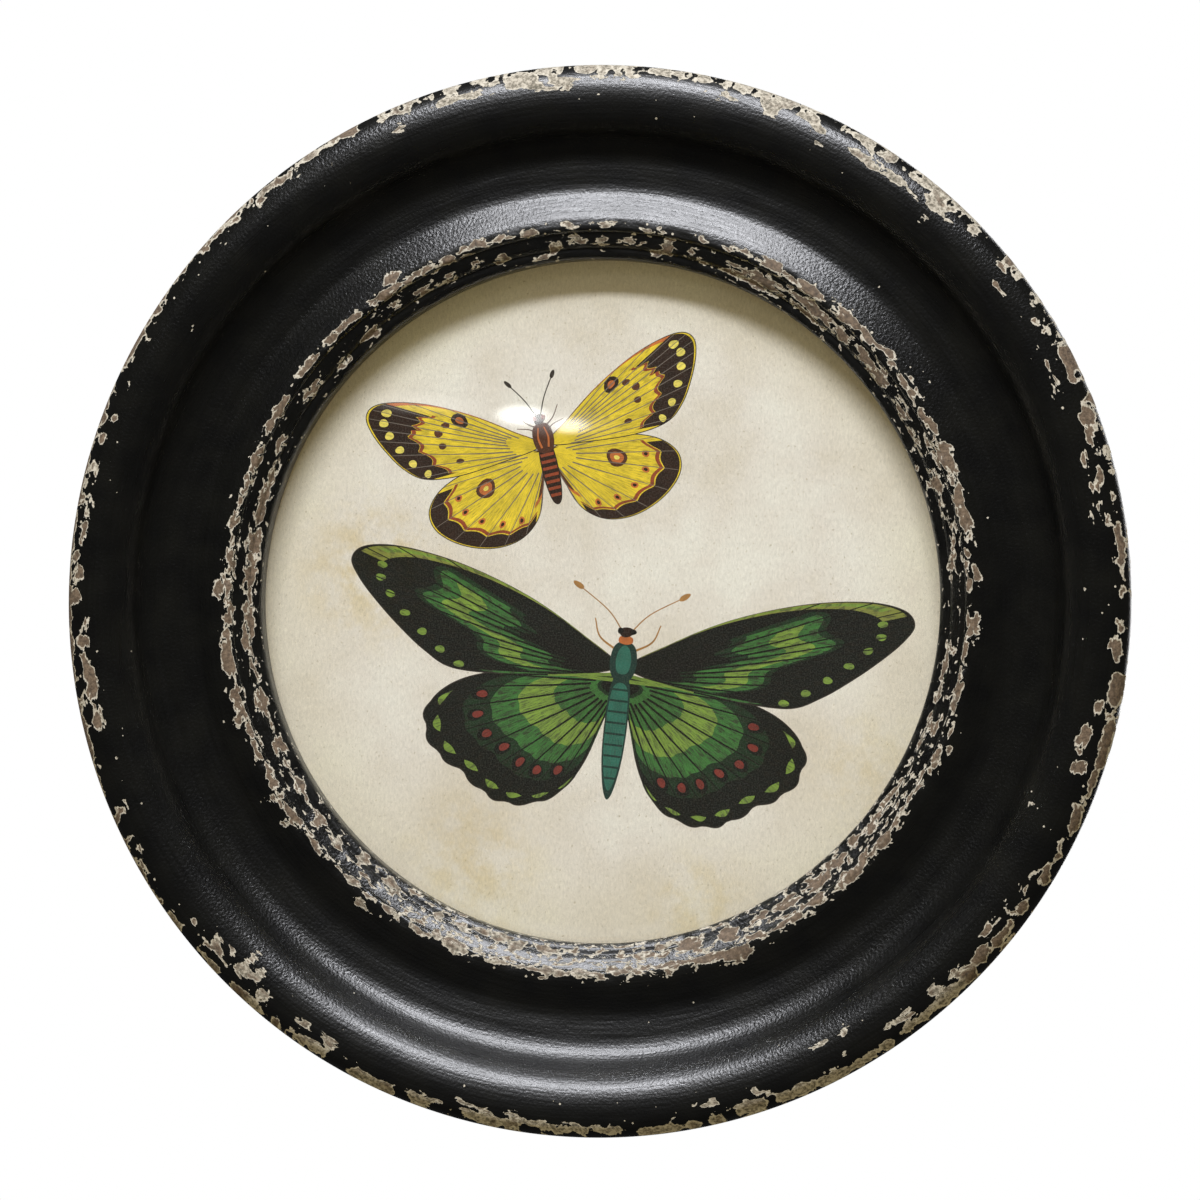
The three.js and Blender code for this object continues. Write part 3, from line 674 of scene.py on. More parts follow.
# Millimetres inside a chip, where no chip was placed: at 0 the noise bares about half the paint.
# First by the distance out, then what is added on the lip and on the edge, clockwise.
SPARSE = {79.9: -0.5, 81: -0.35, 82.5: -0.5, 84.2: -0.25, 85.8: -0.5, 87.4: -0.2, 88.8: -0.6,
          90.5: -1.6, 93: -3, 111: -3, 116: -1.5, 119: -1.0, 122: -0.7, 124.5: -0.35, 127: -0.3,
          131: -0.9, 140: -1.6, 155: -1.9}
LIP_LACE = {0: -0.35, 18: -0.3, 30: 0, 80: -0.1, 90: -0.25, 110: -0.15, 135: 0.2, 175: 0.25,
            212: 0.2, 225: -0.1, 250: -0.25, 295: -0.25, 315: -0.3, 360: -0.35}
EDGE_LACE = {0: 0.5, 45: 0.35, 70: 0, 120: 0.05, 180: 0.15, 250: 0.2, 300: 0.3, 360: 0.5}
# How often the rubbing went on down to the wood, by degrees clockwise from the top
EDGE_BARE = {0: 0.25, 20: 0.2, 45: 0.3, 60: 0.9, 130: 1, 138: 0.3, 175: 0.25, 215: 0.4, 245: 0.6,
             262: 1, 285: 0.7, 315: 0.8, 335: 0.5, 348: 0, 360: 0.25}
LIP_BARE = {0: 0.45, 18: 0.6, 28: 0.95, 90: 0.9, 110: 0.55, 130: 0.8, 158: 1, 172: 0.6, 185: 0.4,
            225: 0.5, 240: 0.9, 300: 1, 330: 0.9, 348: 0.5, 360: 0.45}
SIDE_FROM = 30  # mm, the height below which the distance out goes on down the side
LACE_FROM = 123  # mm, where the edge's lace starts
CHIP_FADE = 3  # mm, how far beyond a chip its depth is still worked out
CHIP_FLOOR = -2  # the least depth that a chip gives to what is round it, in its half widths
CHIP_MORE = 0.1  # mm, added to the depth of each chip
SIDE_LESS = 1.0  # mm, taken off low on the side, where no hand rubs


def read_off(table, where):
    """The values between the ones that a table gives."""
    return np.interp(where, list(table), list(table.values()))


def rub_through(mesh):
    """Write on the frame's mesh how deep in a chip each point is, and how bare its wood."""
    spots = np.empty(len(mesh.vertices) * 3)
    mesh.vertices.foreach_get("co", spots)
    spots = spots.reshape(-1, 3) / MM - np.array(MIDDLE)
    radius = np.hypot(spots[:, 0], spots[:, 2])
    height = -spots[:, 1]
    clock = np.degrees(np.arctan2(spots[:, 0], spots[:, 2])) % 360
    on_side = (radius > BEAD["r"]) & (height < SIDE_FROM)
    girth = np.where(on_side, FRAME_R + SIDE_FROM - height, radius)
    on_lip = radius < SCOOP["r"]
    wear = read_off(SPARSE, girth)
    wear[height < LEDGE - 1] -= SIDE_LESS
    edge_lace = np.where(girth > LACE_FROM, read_off(EDGE_LACE, clock), 0)
    wear += np.where(on_lip, read_off(LIP_LACE, clock), edge_lace)
    for at, out, reach, width in EDGE_CHIPS + LIP_CHIPS:
        along = ((clock - at + 180) % 360 - 180) * radians(1) * out
        close = (np.abs(along) < reach + CHIP_FADE) & (np.abs(girth - out) < width + CHIP_FADE)
        near = np.nonzero(close)[0]
        off = np.hypot(along[near] / reach, (girth[near] - out) / width)
        depth = np.maximum(1 - off, CHIP_FLOOR) * min(reach, width) + CHIP_MORE
        wear[near] = np.maximum(wear[near], depth)
    bare = np.where(on_lip, read_off(LIP_BARE, clock), read_off(EDGE_BARE, clock))
    for name, values in (("wear", wear), ("bare", bare)):
        mesh.attributes.new(name, "FLOAT", "POINT")
        mesh.attributes[name].data.foreach_set("value", values.astype(np.float32))


# In mm, but for the level of the noise from which it makes a knock
KNOCK = {"size": 4.0, "level": 0.05, "depth": 0.9, "width": 1.3}
WANDER = {"size": 26.0, "depth": 0.07, "inward": 0.3}


def knocked(bm):
    """Small knocks in the lip ridges and slow unevenness of the turning, all into the wood."""
    for vert in bm.verts:
        spot = vert.co / MM - MIDDLE
        r, h = hypot(spot.x, spot.z), -spot.y
        on_ledge = r < RABBET_R + 0.2 and h < LEDGE + 0.1
        if r < OPENING_R + 0.2 or h < SIDE["ease"] + 1 or on_ledge:
            continue
        out = Vector((spot.x, 0, spot.z)).normalized()
        ridge = max(0.0, 1 - min(abs(r - each) for each in RIDGES) / KNOCK["width"])
        dent = max(0.0, noise.noise(spot / KNOCK["size"]) - KNOCK["level"]) * KNOCK["depth"] * ridge
        slow = (noise.noise(spot / WANDER["size"]) + 1) * WANDER["depth"]
        vert.co += (Vector((0, dent + slow, 0)) - out * WANDER["inward"] * slow) * MM


TAB_COUNT = 4
TAB = {"width": 7, "inner": 75, "shoulder": 85, "tip": 88, "thick": 0.6}
SLIT_PLAY = 0.4
BOARD_FACE, BOARD_BACK, GAP = 16.1, 13.1, 0.3
HANGER = {"half": 23, "top": 6.5, "thick": 0.8, "back": 1.3, "teeth": 4, "pitch": 4, "depth": 1.6}
HANGER_RECESS = {"half": 24.2, "low": -2.8, "high": 7.7, "depth": 2.4, "corner": 2}
NAIL_POCKET = {"half": 14, "low": -9, "high": 3, "depth": 9, "corner": 4}
NAIL = {"x": 20.4, "z": 3, "head": 2.2, "head_thick": 0.7, "crown": 0.9, "shank": 0.8,
        "length": 10, "tip": 2, "hole": 1.15}
HANG_Z = 100  # the wall nail, above the middle


def tab_outline(play):
    """A tab in its slit, its tip pointed, and wider all round by the play."""
    side = TAB["width"] / 2 + play
    return [(-side, TAB["inner"] - play), (-side, TAB["shoulder"] + play), (0, TAB["tip"] + play),
            (side, TAB["shoulder"] + play), (side, TAB["inner"] - play)]


def turned_to(bm, index):
    """Turn a tab or its slit to its place round the ring."""
    turn = Matrix.Rotation(-index / TAB_COUNT * tau, 3, "Y")
    bmesh.ops.rotate(bm, verts=bm.verts, cent=CENTRE, matrix=turn)
    return bm


def bevelled(bm, edges, size, segments):
    """Round these edges off."""
    bmesh.ops.bevel(bm, geom=edges, offset=size * MM, offset_type="OFFSET", affect="EDGES",
                    segments=segments, profile=0.5, material=-1)
    return bm


def rounded_pocket(sizes):
    """A routed pocket in the back, its corners as round as the cutter."""
    half, low, high = sizes["half"], sizes["low"] + HANG_Z, sizes["high"] + HANG_Z
    bm = slab([(-half, low), (half, low), (half, high), (-half, high)], -1, sizes["depth"])
    upright = [e for e in bm.edges if abs((e.verts[0].co - e.verts[1].co).normalized().y) > 0.9]
    return bevelled(bm, upright, sizes["corner"], 6)


def nail_bore(x):
    """The hole that a small nail is driven into."""
    bm = bmesh.new()
    depth = NAIL["length"] + 1
    centre = Vector((x, -(HANGER["back"] + depth / 2), NAIL["z"])) * MM
    turn = Matrix.Translation(centre) @ Matrix.Rotation(pi / 2, 4, "X")
    bmesh.ops.create_cone(bm, cap_ends=True, segments=24, radius1=NAIL["hole"] * MM,
                          radius2=NAIL["hole"] * MM, depth=depth * MM, matrix=turn)
    return bm


def make_frame():
    """The turned ring, knocked, cut for tabs, hanger and nails, and then rubbed through."""
    bm = turned(moulding(), FRAME_TURN)
    for face in bm.faces:
        middle = face.calc_center_median() / MM - MIDDLE
        r, h = hypot(middle.x, middle.z), -middle.y
        bare = h < 0.05 or (r < RABBET_R + 0.1 and h < LEDGE + 0.05 and r > OPENING_R + 0.1)
        face.material_index = 1 if bare else 0
    knocked(bm)
    ring = piece("turned_frame", bm, [PAINT, WOOD])
    slit_top = BOARD_BACK - GAP + SLIT_PLAY
    slit_low = slit_top - TAB["thick"] - 2 * SLIT_PLAY
    cutters = [turned_to(slab(tab_outline(SLIT_PLAY), slit_low, slit_top), i)
               for i in range(TAB_COUNT)]
    cutters += [rounded_pocket(HANGER_RECESS), rounded_pocket(NAIL_POCKET)]
    cutters += [nail_bore(x) for x in (-NAIL["x"], NAIL["x"])]
    tools = []
    for number, cutter_bm in enumerate(cutters):
        for face in cutter_bm.faces:
            face.material_index = 1
        tools.append(piece(f"cutter_{number}", cutter_bm, [PAINT, WOOD]))
        cut = ring.modifiers.new("cut", "BOOLEAN")
        cut.operation = "DIFFERENCE"
        cut.solver = "MANIFOLD"
        cut.object = tools[-1]
    bpy.context.view_layer.update()
    graph = bpy.context.evaluated_depsgraph_get()
    made = bpy.data.meshes.new_from_object(ring.evaluated_get(graph))
    ring.modifiers.clear()
    ring.data = made
    for tool in tools:
        bpy.data.objects.remove(tool)
    ring.data.name = "turned_frame"
    rub_through(made)
    return ring


carried(make_frame(), "frame")


# Glass and board

GLASS_FRONT, GLASS_THICK, DOME_RISE = 19.1, 2, 14.5
STACK_R = 83.2  # of the glass, the card and the board


def make_glass():
    """The dome springs from a flat rim."""
    foot = OPENING_R - 0.5
    sphere = (foot ** 2 + DOME_RISE ** 2) / (2 * DOME_RISE)
    centre = GLASS_FRONT + DOME_RISE - sphere
    back = GLASS_FRONT - GLASS_THICK
    inner = sphere - GLASS_THICK
    inner_foot = asin((back - centre) / inner)
    outer_foot = asin((GLASS_FRONT - centre) / sphere)
    section = chain(
        arc(0, centre, inner, pi / 2, inner_foot, 40),
        line((inner * cos(inner_foot), back), (STACK_R, back), 2),
        line((STACK_R, back), (STACK_R, GLASS_FRONT), 2),
        line((STACK_R, GLASS_FRONT), (foot, GLASS_FRONT), 2),
        arc(0, centre, sphere, outer_foot, pi / 2, 40))
    return piece("domed_glass", turned(section, 192, closed=False), [GLASS], 12)


carried(make_glass(), "dome_glass")


def make_board():
    """A sawn hardboard disc, its edges just broken."""
    broken_back, broken_face = 0.4, 0.3
    section = chain([(0, BOARD_BACK), (60, BOARD_BACK)],
                    bend((STACK_R - broken_back, BOARD_BACK), (STACK_R, BOARD_BACK),
                         (STACK_R, BOARD_BACK + broken_back), 3),
                    bend((STACK_R, BOARD_FACE - broken_face), (STACK_R, BOARD_FACE),
                         (STACK_R - broken_face, BOARD_FACE), 3),
                    [(0, BOARD_FACE)])
    return piece("hardboard_back", turned(section, 180, closed=False), [HARDBOARD])


carried(make_board(), "backing_board")


# Tabs, hanger and nails

def softened(bm, size):
    """Take the edge off every corner that is sharper than 30 degrees."""
    sharp = [e for e in bm.edges if len(e.link_faces) == 2 and e.calc_face_angle(0) > radians(30)]
    return bevelled(bm, sharp, size, 2)


tab_top = BOARD_BACK - GAP
for index in range(TAB_COUNT):
    tab_bm = turned_to(slab(tab_outline(0), tab_top - TAB["thick"], tab_top), index)
    tab = piece(f"board_tab_{index + 1}", softened(tab_bm, 0.12), [ZINC])
    carried(tab, f"retaining_tab_{index + 1}")


def make_hanger():
    """A sawtooth strip: teeth cut in its lower edge, so the nail bears in a notch."""
    low, high, half = HANG_Z - HANGER["depth"], HANG_Z + HANGER["top"], HANGER["half"]
    outline = [(-half, low)]
    for tooth in range(-HANGER["teeth"], HANGER["teeth"] + 1):
        outline += [((tooth - 0.5) * HANGER["pitch"], low), (tooth * HANGER["pitch"], HANG_Z)]
    outline += [((HANGER["teeth"] + 0.5) * HANGER["pitch"], low), (half, low), (half, high),
                (-half, high)]
    bm = slab(outline, HANGER["back"], HANGER["back"] + HANGER["thick"])
    return piece("sawtooth_strip", softened(bm, 0.15), [BRASS])


carried(make_hanger(), "hanger")


def make_nail(side, x):
    """A small nail with a slightly domed head."""
    head = HANGER["back"] - GAP
    back = head - NAIL["head_thick"]
    section = chain([(0, back)],
                    bend((NAIL["head"] - NAIL["crown"], back), (NAIL["head"], back + 0.1),
                         (NAIL["head"], head), 4),
                    [(NAIL["shank"], head), (NAIL["shank"], NAIL["length"] - NAIL["tip"]),
                     (0, NAIL["length"])])
    bm = turned(section, 32, closed=False)
    bmesh.ops.translate(bm, verts=bm.verts, vec=(x * MM, 0, (HANG_Z + NAIL["z"]) * MM))
    carried(piece(f"strip_nail_{side}", bm, [BRASS]), f"hanger_nail_{side}")


for side, x in (("left", -NAIL["x"]), ("right", NAIL["x"])):
    make_nail(side, x)


# Printed card

CARD_FACE, CARD_THICK = 16.8, 0.4

# An ink: its colour, how far it covers the paper, how much its strokes vary
INKS = {
    "paper": ("#ffffff", 0.0, 0.0),
    "line": ("#20150c", 0.97, 0.1),
    "fine": ("#3c2817", 0.82, 0.1),
    "black": ("#0d0c09", 0.995, 0.25),
    "yellow": ("#e0c522", 0.96, 0.34),
    "pale_yellow": ("#ead957", 0.92, 0.25),
    "orange": ("#c0641a", 0.95, 0.35),
    "rust": ("#8f3a14", 0.97, 0.3),
    "brown": ("#4e2610", 0.98, 0.4),
    "deep_brown": ("#27140a", 0.99, 0.5),
    "green": ("#2c6427", 0.97, 0.75),
    "deep_green": ("#112c16", 0.99, 0.6),
    "leaf": ("#6b8a28", 0.95, 0.6),
    "olive": ("#787e2c", 0.95, 0.55),
    "night": ("#0b0f0a", 0.995, 0.5),
    "teal": ("#1a6255", 0.97, 0.3),
    "deep_teal": ("#0c312c", 0.985, 0.3),
    "cream": ("#ddd5a6", 0.85, 0.3),
    "ochre": ("#a06e26", 0.93, 0.2),
    "red": ("#701f13", 0.97, 0.25),
}


def between(a, b, c, d, t):
    """A point of the smooth curve from b to c, where a comes before and d after."""
    return 0.5 * (2 * b + (c - a) * t + (2 * a - 5 * b + 4 * c - d) * t * t
                  + (3 * b - a - 3 * c + d) * t ** 3)


def smooth_loop(points, per_span):
    """A smooth closed line through the points."""
    spots = [Vector(p) for p in points]
    return [between(*(spots[(i + k) % len(spots)] for k in (-1, 0, 1, 2)), step / per_span)
            for i in range(len(spots)) for step in range(per_span)]


def both_sides(right, per_span):
    """A smooth closed outline from its right half, whose two ends lie on the middle."""
    return smooth_loop(right + [(-x, z) for x, z in right[-2:0:-1]], per_span)


def swept(side, points, per_span):
    """A smooth open line through points that are given for the right side, side 1."""
    spots = [Vector((side * x, z)) for x, z in points]
    spots = [2 * spots[0] - spots[1], *spots, 2 * spots[-1] - spots[-2]]
    run = [between(*spots[i:i + 4], step / per_span)
           for i in range(len(spots) - 3) for step in range(per_span)]
    return run + [spots[-2]]


class Plate:
    """Shapes laid one over the other on the card, in millimetres round its middle."""

    def __init__(self):
        self.points, self.faces, self.inks, self.frames = [], [], [], []
        self.frame = Matrix.Identity(3)

    def stand(self, x, z, tilt, mirror):
        """Where the next shapes lie, and which way they face."""
        turn = Matrix.Rotation(tilt, 3, "Z")
        flip = Matrix.Diagonal((-1 if mirror else 1, 1, 1))
        self.frame = Matrix(((1, 0, x), (0, 1, z), (0, 0, 1))) @ turn @ flip

    def lay(self, ink, outline):
        """Lay a shape of one ink over what is there."""
        spots = [(self.frame @ Vector((p[0], p[1], 1))).to_2d() for p in outline]
        area = sum(a.x * b.y - b.x * a.y for a, b in zip(spots, spots[1:] + spots[:1]))
        if area < 0:
            spots.reverse()
        first = len(self.points)
        self.points += spots
        self.faces.append(list(range(first, first + len(spots))))
        self.inks.append(ink)
        self.frames.append(self.frame.inverted())

    def owners(self, spots):
        """The last shape laid over each spot, found by how often its outline winds round it."""
        x, z = np.array(spots).T
        found = np.zeros(len(x), dtype=int)
        for number, loop in enumerate(self.faces):
            start = np.array([self.points[i] for i in loop])
            end = np.roll(start, -1, axis=0)
            low, high = start.min(axis=0), start.max(axis=0)
            near = np.nonzero((x > low[0]) & (x < high[0]) & (z > low[1]) & (z < high[1]))[0]
            px, pz = x[near, None], z[near, None]
            side = ((end[:, 0] - start[:, 0]) * (pz - start[:, 1])
                    - (px - start[:, 0]) * (end[:, 1] - start[:, 1]))
            up = (start[:, 1] <= pz) & (end[:, 1] > pz) & (side > 0)
            down = (start[:, 1] > pz) & (end[:, 1] <= pz) & (side < 0)
            found[near[up.sum(axis=1) != down.sum(axis=1)]] = number
        return found.tolist()

    def dot(self, ink, centre, length, width, lean=0.0, steps=18):
        """An oval spot, its edge a little uneven."""
        turn = Matrix.Rotation(lean, 2)
        ring = []
        for i in range(steps):
            a = tau * i / steps
            uneven = 1 + 0.07 * sin(2 * a + centre[0]) + 0.05 * sin(3 * a + centre[1] * 2)
            ring.append(Vector(centre) + turn @ Vector((length * cos(a), width * sin(a))) * uneven)
        self.lay(ink, ring)

    def stroke(self, ink, points, start, end):
        """A line that swells or thins from its start width to its end width."""
        left, right = [], []
        for i, point in enumerate(points):
            ahead = points[min(i + 1, len(points) - 1)] - points[max(i - 1, 0)]
            side = Vector((-ahead.y, ahead.x)).normalized()
            half = (start + (end - start) * i / (len(points) - 1)) / 2
            left.append(point + side * half)
            right.append(point - side * half)
        self.lay(ink, left + right[::-1])

    def rings(self, ink, count, first, pitch, half, curve, taper, tall):
        """Bands across a body, where the curve says how fast and from which band on they narrow."""
        for k in range(count):
            z = first - pitch * k
            reach = half - curve[0] * (k - curve[1]) ** 2
            self.lay(ink, [(-reach, z), (reach, z), (reach * taper, z - tall),
                           (-reach * taper, z - tall)])

    def antenna(self, ink, run, club):
        """A feeler with a club at its end."""
        self.stroke(ink, run, 0.3, 0.24)
        way = atan2(run[-1].y - run[-3].y, run[-1].x - run[-3].x)
        self.dot(ink, run[-1], club, club * 0.45, way, 12)


class Wing:
    """A wing outline; markings are placed by how far round the outline they are, and how far
    out from the root."""

    def __init__(self, plate, outline, root, per_span):
        self.plate, self.root, self.per = plate, Vector(root), per_span
        self.loop = smooth_loop(outline, per_span)

    def at(self, turn, reach):
        """A spot this many outline points round, and this share of the way out."""
        place_on = (turn * self.per) % len(self.loop)
        i = int(place_on)
        edge = self.loop[i].lerp(self.loop[(i + 1) % len(self.loop)], place_on - i)
        return self.root + (edge - self.root) * reach

    def scallop(self, depth, first, last, blunt):
        """Push the rim out between the outline's points."""
        self.loop = [self.root + (p - self.root)
                     * (1 + depth * max(0, abs(sin(i / self.per * pi)) - blunt)
                        * (first <= i / self.per <= last))
                     for i, p in enumerate(self.loop)]

    def inset(self, ink, width):
        """The wing less a rim of even width."""
        count = len(self.loop)
        inner = []
        for i, point in enumerate(self.loop):
            ahead = self.loop[(i + 1) % count] - self.loop[i - 1]
            inner.append(point + Vector((-ahead.y, ahead.x)).normalized() * width)
        self.plate.lay(ink, inner)

    def band(self, ink, start, end, inner, outer, steps=48):
        """A band between two shares of the way out, each a number or a function of the turn."""
        turns = [start + (end - start) * i / steps for i in range(steps + 1)]
        rim = [self.at(t, outer(t) if callable(outer) else outer) for t in turns]
        back = [self.at(t, inner(t) if callable(inner) else inner) for t in turns]
        self.plate.lay(ink, rim + back[::-1])

    def veins(self, ink, turns, start, end, width, bow, steps=12):
        """Tapering lines outwards, each bowed to one side near the root."""
        for turn in turns:
            run = [self.at(turn + bow * (1 - i / steps) ** 2, start + (end - start) * i / steps)
                   for i in range(steps + 1)]
            self.plate.stroke(ink, run, width, width * 0.45)

    def spot(self, ink, turn, reach, length, width):
        """An oval that points away from the root."""
        centre = self.at(turn, reach)
        way = centre - self.root
        self.plate.dot(ink, centre, length, width, atan2(way.y, way.x))


def butterfly(plate, x, z, tilt, size, flat, per_span, ground, wings, body):
    """Both pairs of wings, the hind ones first, and the body over them.

    An outline is a share of the size, and flat is how much lower than wide the wings are drawn.
    """
    for mirror in (False, True):
        plate.stand(x, z, tilt, mirror)
        for outline, root, scallop, mark in wings:
            shape = [(size * px, size * pz * flat) for px, pz in outline]
            wing = Wing(plate, shape, (0, root), per_span)
            if scallop:
                wing.scallop(*scallop)
            plate.lay("line", wing.loop)
            wing.inset(*ground)
            mark(wing)
    plate.stand(x, z, tilt, False)
    body(plate)


YELLOW_FORE = [
    (0.02, 0.03), (0.17, 0.20), (0.38, 0.40), (0.62, 0.57), (0.82, 0.655), (0.945, 0.66),
    (1.0, 0.58), (0.985, 0.44), (0.93, 0.27), (0.85, 0.10), (0.74, -0.02), (0.55, -0.06),
    (0.28, -0.035)]
YELLOW_HIND = [
    (0.03, -0.02), (0.22, 0.0), (0.46, -0.03), (0.65, -0.12), (0.755, -0.27), (0.75, -0.43),
    (0.66, -0.57), (0.52, -0.67), (0.37, -0.705), (0.23, -0.66), (0.12, -0.52), (0.06, -0.28)]


def yellow_forewing(wing):
    """A dark tip with pale spots, a ringed spot in the middle, and dark ones along the border."""
    def border(t):
        return 0.80 - 0.045 * abs(sin((t - 5) * pi)) - 0.05 * (t < 6.4)

    wing.band("deep_brown", 4.4, 10.2, border, 0.985)
    wing.band("rust", 4.2, 10.1, lambda t: border(t) - 0.028, lambda t: border(t) - 0.004)
    wing.band("orange", 0.6, 4.4, 0.93, 0.985)
    for k in range(6):
        wing.spot("pale_yellow", 5.3 + 0.86 * k, 0.90, 1.25 - 0.08 * k, 0.9)
    wing.spot("deep_brown", 3.7, 0.60, 2.2, 1.5)
    wing.spot("orange", 3.7, 0.60, 1.1, 0.7)
    dark_spots = [(5.2, 0.57, 1.0), (6.4, 0.60, 1.1), (7.6, 0.62, 1.0), (9.0, 0.6, 0.9)]
    for turn, reach, length in dark_spots:
        wing.spot("brown", turn, reach, length, length * 0.7)
    wing.veins("fine", [2.6, 3.6, 4.6, 5.3, 6.0, 6.7, 7.4, 8.2, 9.0, 9.8], 0.22, 0.98, 0.3, 0.5)


def yellow_hindwing(wing):
    """A dark border with a row of ringed spots inside it, and one larger eye."""
    def border(t):
        return 0.88 - 0.035 * abs(sin((t - 3) * pi))

    wing.band("deep_brown", 3.3, 9.6, border, 0.985)
    wing.band("rust", 3.1, 9.6, lambda t: border(t) - 0.04, lambda t: border(t) - 0.01)
    wing.band("brown", 9.4, 12.6, 0.05, 0.62)
    wing.band("orange", 9.2, 11.8, 0.62, 0.7)
    for ink, length, width in ("brown", 2.5, 2.1), ("orange", 1.7, 1.35), ("pale_yellow", 0.7, 0.5):
        wing.spot(ink, 4.6, 0.52, length, width)
    for k in range(5):
        wing.spot("orange", 4.2 + 1.05 * k, 0.745, 0.95, 0.7)
        wing.spot("deep_brown", 4.2 + 1.05 * k, 0.745, 0.5, 0.36)
    wing.veins("fine", range(2, 11), 0.22, 0.98, 0.3, 0.3)


def yellow_body(plate):
    """Brown, with rust rings, short legs, thin feelers and red eyes."""
    for side in (1, -1):
        plate.antenna("line", swept(side, [(0.6, 8.0), (2.4, 12.0), (5.4, 16.6)], 6), 1.1)
        for leg in ([(1.2, 5.2), (3.3, 6.8), (5.0, 9.4)], [(1.2, 3.4), (2.6, 5.0), (5.6, 5.9)]):
            plate.stroke("brown", swept(side, leg, 5), 0.34, 0.16)
    plate.lay("deep_brown", both_sides(
        [(0, -13.5), (1.2, -12.2), (1.9, -8.0), (2.0, -3.5), (1.6, 0.2), (0, 0.8)], 5))
    plate.rings("rust", 7, -1.2, 1.6, 1.75, (0.03, 2), 0.96, 0.7)
    plate.lay("brown", both_sides([(0, -1.2), (1.9, -0.2), (2.5, 2.6), (1.9, 5.2), (0, 6.2)], 5))
    for side in (1, -1):
        plate.stroke("orange", swept(side, [(0.8, 0.2), (1.2, 2.6), (0.7, 5.0)], 5), 0.5, 0.3)
    plate.dot("deep_brown", (0, 7.0), 1.4, 1.25)
    for side in (1, -1):
        plate.dot("red", (1.05 * side, 7.3), 0.5, 0.55)


GREEN_FORE = [
    (0.02, 0.03), (0.16, 0.155), (0.36, 0.285), (0.60, 0.385), (0.82, 0.43), (0.955, 0.415),
    (1.0, 0.355), (0.965, 0.275), (0.89, 0.18), (0.80, 0.085), (0.705, 0.0), (0.60, -0.06),
    (0.42, -0.06), (0.20, -0.03)]
GREEN_HIND = [
    (0.03, -0.015), (0.20, -0.02), (0.40, -0.04), (0.56, -0.10), (0.655, -0.20), (0.665, -0.32),
    (0.61, -0.425), (0.52, -0.49), (0.435, -0.565), (0.35, -0.60), (0.25, -0.585),
    (0.16, -0.52), (0.09, -0.38), (0.045, -0.18)]


def green_forewing(wing):
    """A broad green sweep through the middle, an olive front edge, and a row of leaf spots."""
    def sweep(t):
        return 0.74 + 0.05 * sin(t * 2.1) - 0.03 * (t - 5)

    wing.band("deep_green", 3.6, 11.2, lambda t: sweep(t) - 0.36, lambda t: sweep(t) + 0.03)
    wing.band("green", 3.9, 10.9, lambda t: sweep(t) - 0.30, sweep)
    wing.band("leaf", 4.3, 10.4, lambda t: sweep(t) - 0.17, lambda t: sweep(t) - 0.07)
    wing.band("olive", 0.5, 5.4, 0.9, 0.985)
    wing.band("leaf", 0.9, 4.8, 0.935, 0.97)
    wing.band("green", 11.0, 13.4, 0.2, 0.86)
    for k in range(7):
        wing.spot("leaf", 5.6 + 0.84 * k, 0.895, 1.2, 0.8)
    wing.veins("black", [3.3, 4.2, 5.1, 5.8, 6.5, 7.2, 7.9, 8.6, 9.4, 10.2, 11.0, 12.0],
               0.16, 0.99, 0.5, 0.8)
    wing.veins("leaf", [12.6], 0.08, 0.9, 0.9, 0.2)


def green_hindwing(wing):
    """Rings of green round the root, a row of red spots, and a leaf-coloured lunule per scallop."""
    wing.band("deep_green", 1.4, 13.2, 0.1, 0.80)
    wing.band("green", 2.0, 12.6, 0.12, 0.66)
    wing.band("leaf", 2.6, 12.0, 0.34, 0.52)
    for k in range(8):
        start, end = 3.68 + k, 4.32 + k
        wing.band("leaf", start, end, 0.925,
                  lambda t, start=start: 0.925 + 0.04 * sin((t - start) / 0.64 * pi), 10)
    for k in range(7):
        wing.spot("night", 4.0 + k, 0.745, 2.0, 1.5)
        wing.spot("red", 4.0 + k, 0.735, 1.25, 0.85)
    wing.veins("black", [2.5 + k for k in range(10)], 0.16, 0.99, 0.5, 0.4)
    wing.veins("leaf", [1.6], 0.08, 0.9, 0.9, 0.2)


def green_body(plate):
    """Teal, ringed, with an orange collar, a brown head and long ochre feelers."""
    for side in (1, -1):
        plate.antenna("ochre", swept(side, [(1.0, 10.0), (5.0, 14.6), (12.6, 19.6)], 6), 1.5)
        plate.stroke("ochre", swept(side, [(1.8, 5.4), (6.2, 8.2), (7.8, 12.4)], 6), 0.55, 0.28)
    abdomen = both_sides(
        [(0, -29.5), (1.4, -26.5), (2.5, -19), (2.7, -10), (2.1, -2), (0, 0)], 6)
    plate.lay("deep_teal", abdomen)
    plate.lay("teal", [p * 0.86 + Vector((0, -2.0)) for p in abdomen])
    plate.rings("deep_teal", 9, -3.4, 2.6, 2.3, (0.028, 3), 0.97, 0.5)
    plate.lay("deep_teal", both_sides(
        [(0, -1.6), (2.4, -0.6), (3.2, 3.0), (2.4, 6.6), (0, 7.8)], 6))
    plate.lay("teal", both_sides([(0, 0), (1.3, 0.6), (1.8, 3.2), (1.2, 5.8), (0, 6.8)], 6))
    plate.lay("orange", both_sides([(0, 7.0), (1.6, 7.5), (1.5, 8.7), (0, 9.1)], 5))
    plate.dot("deep_brown", (0, 9.9), 1.7, 1.2)
    for side in (1, -1):
        plate.dot("black", (1.5 * side, 10.1), 0.75, 0.7)


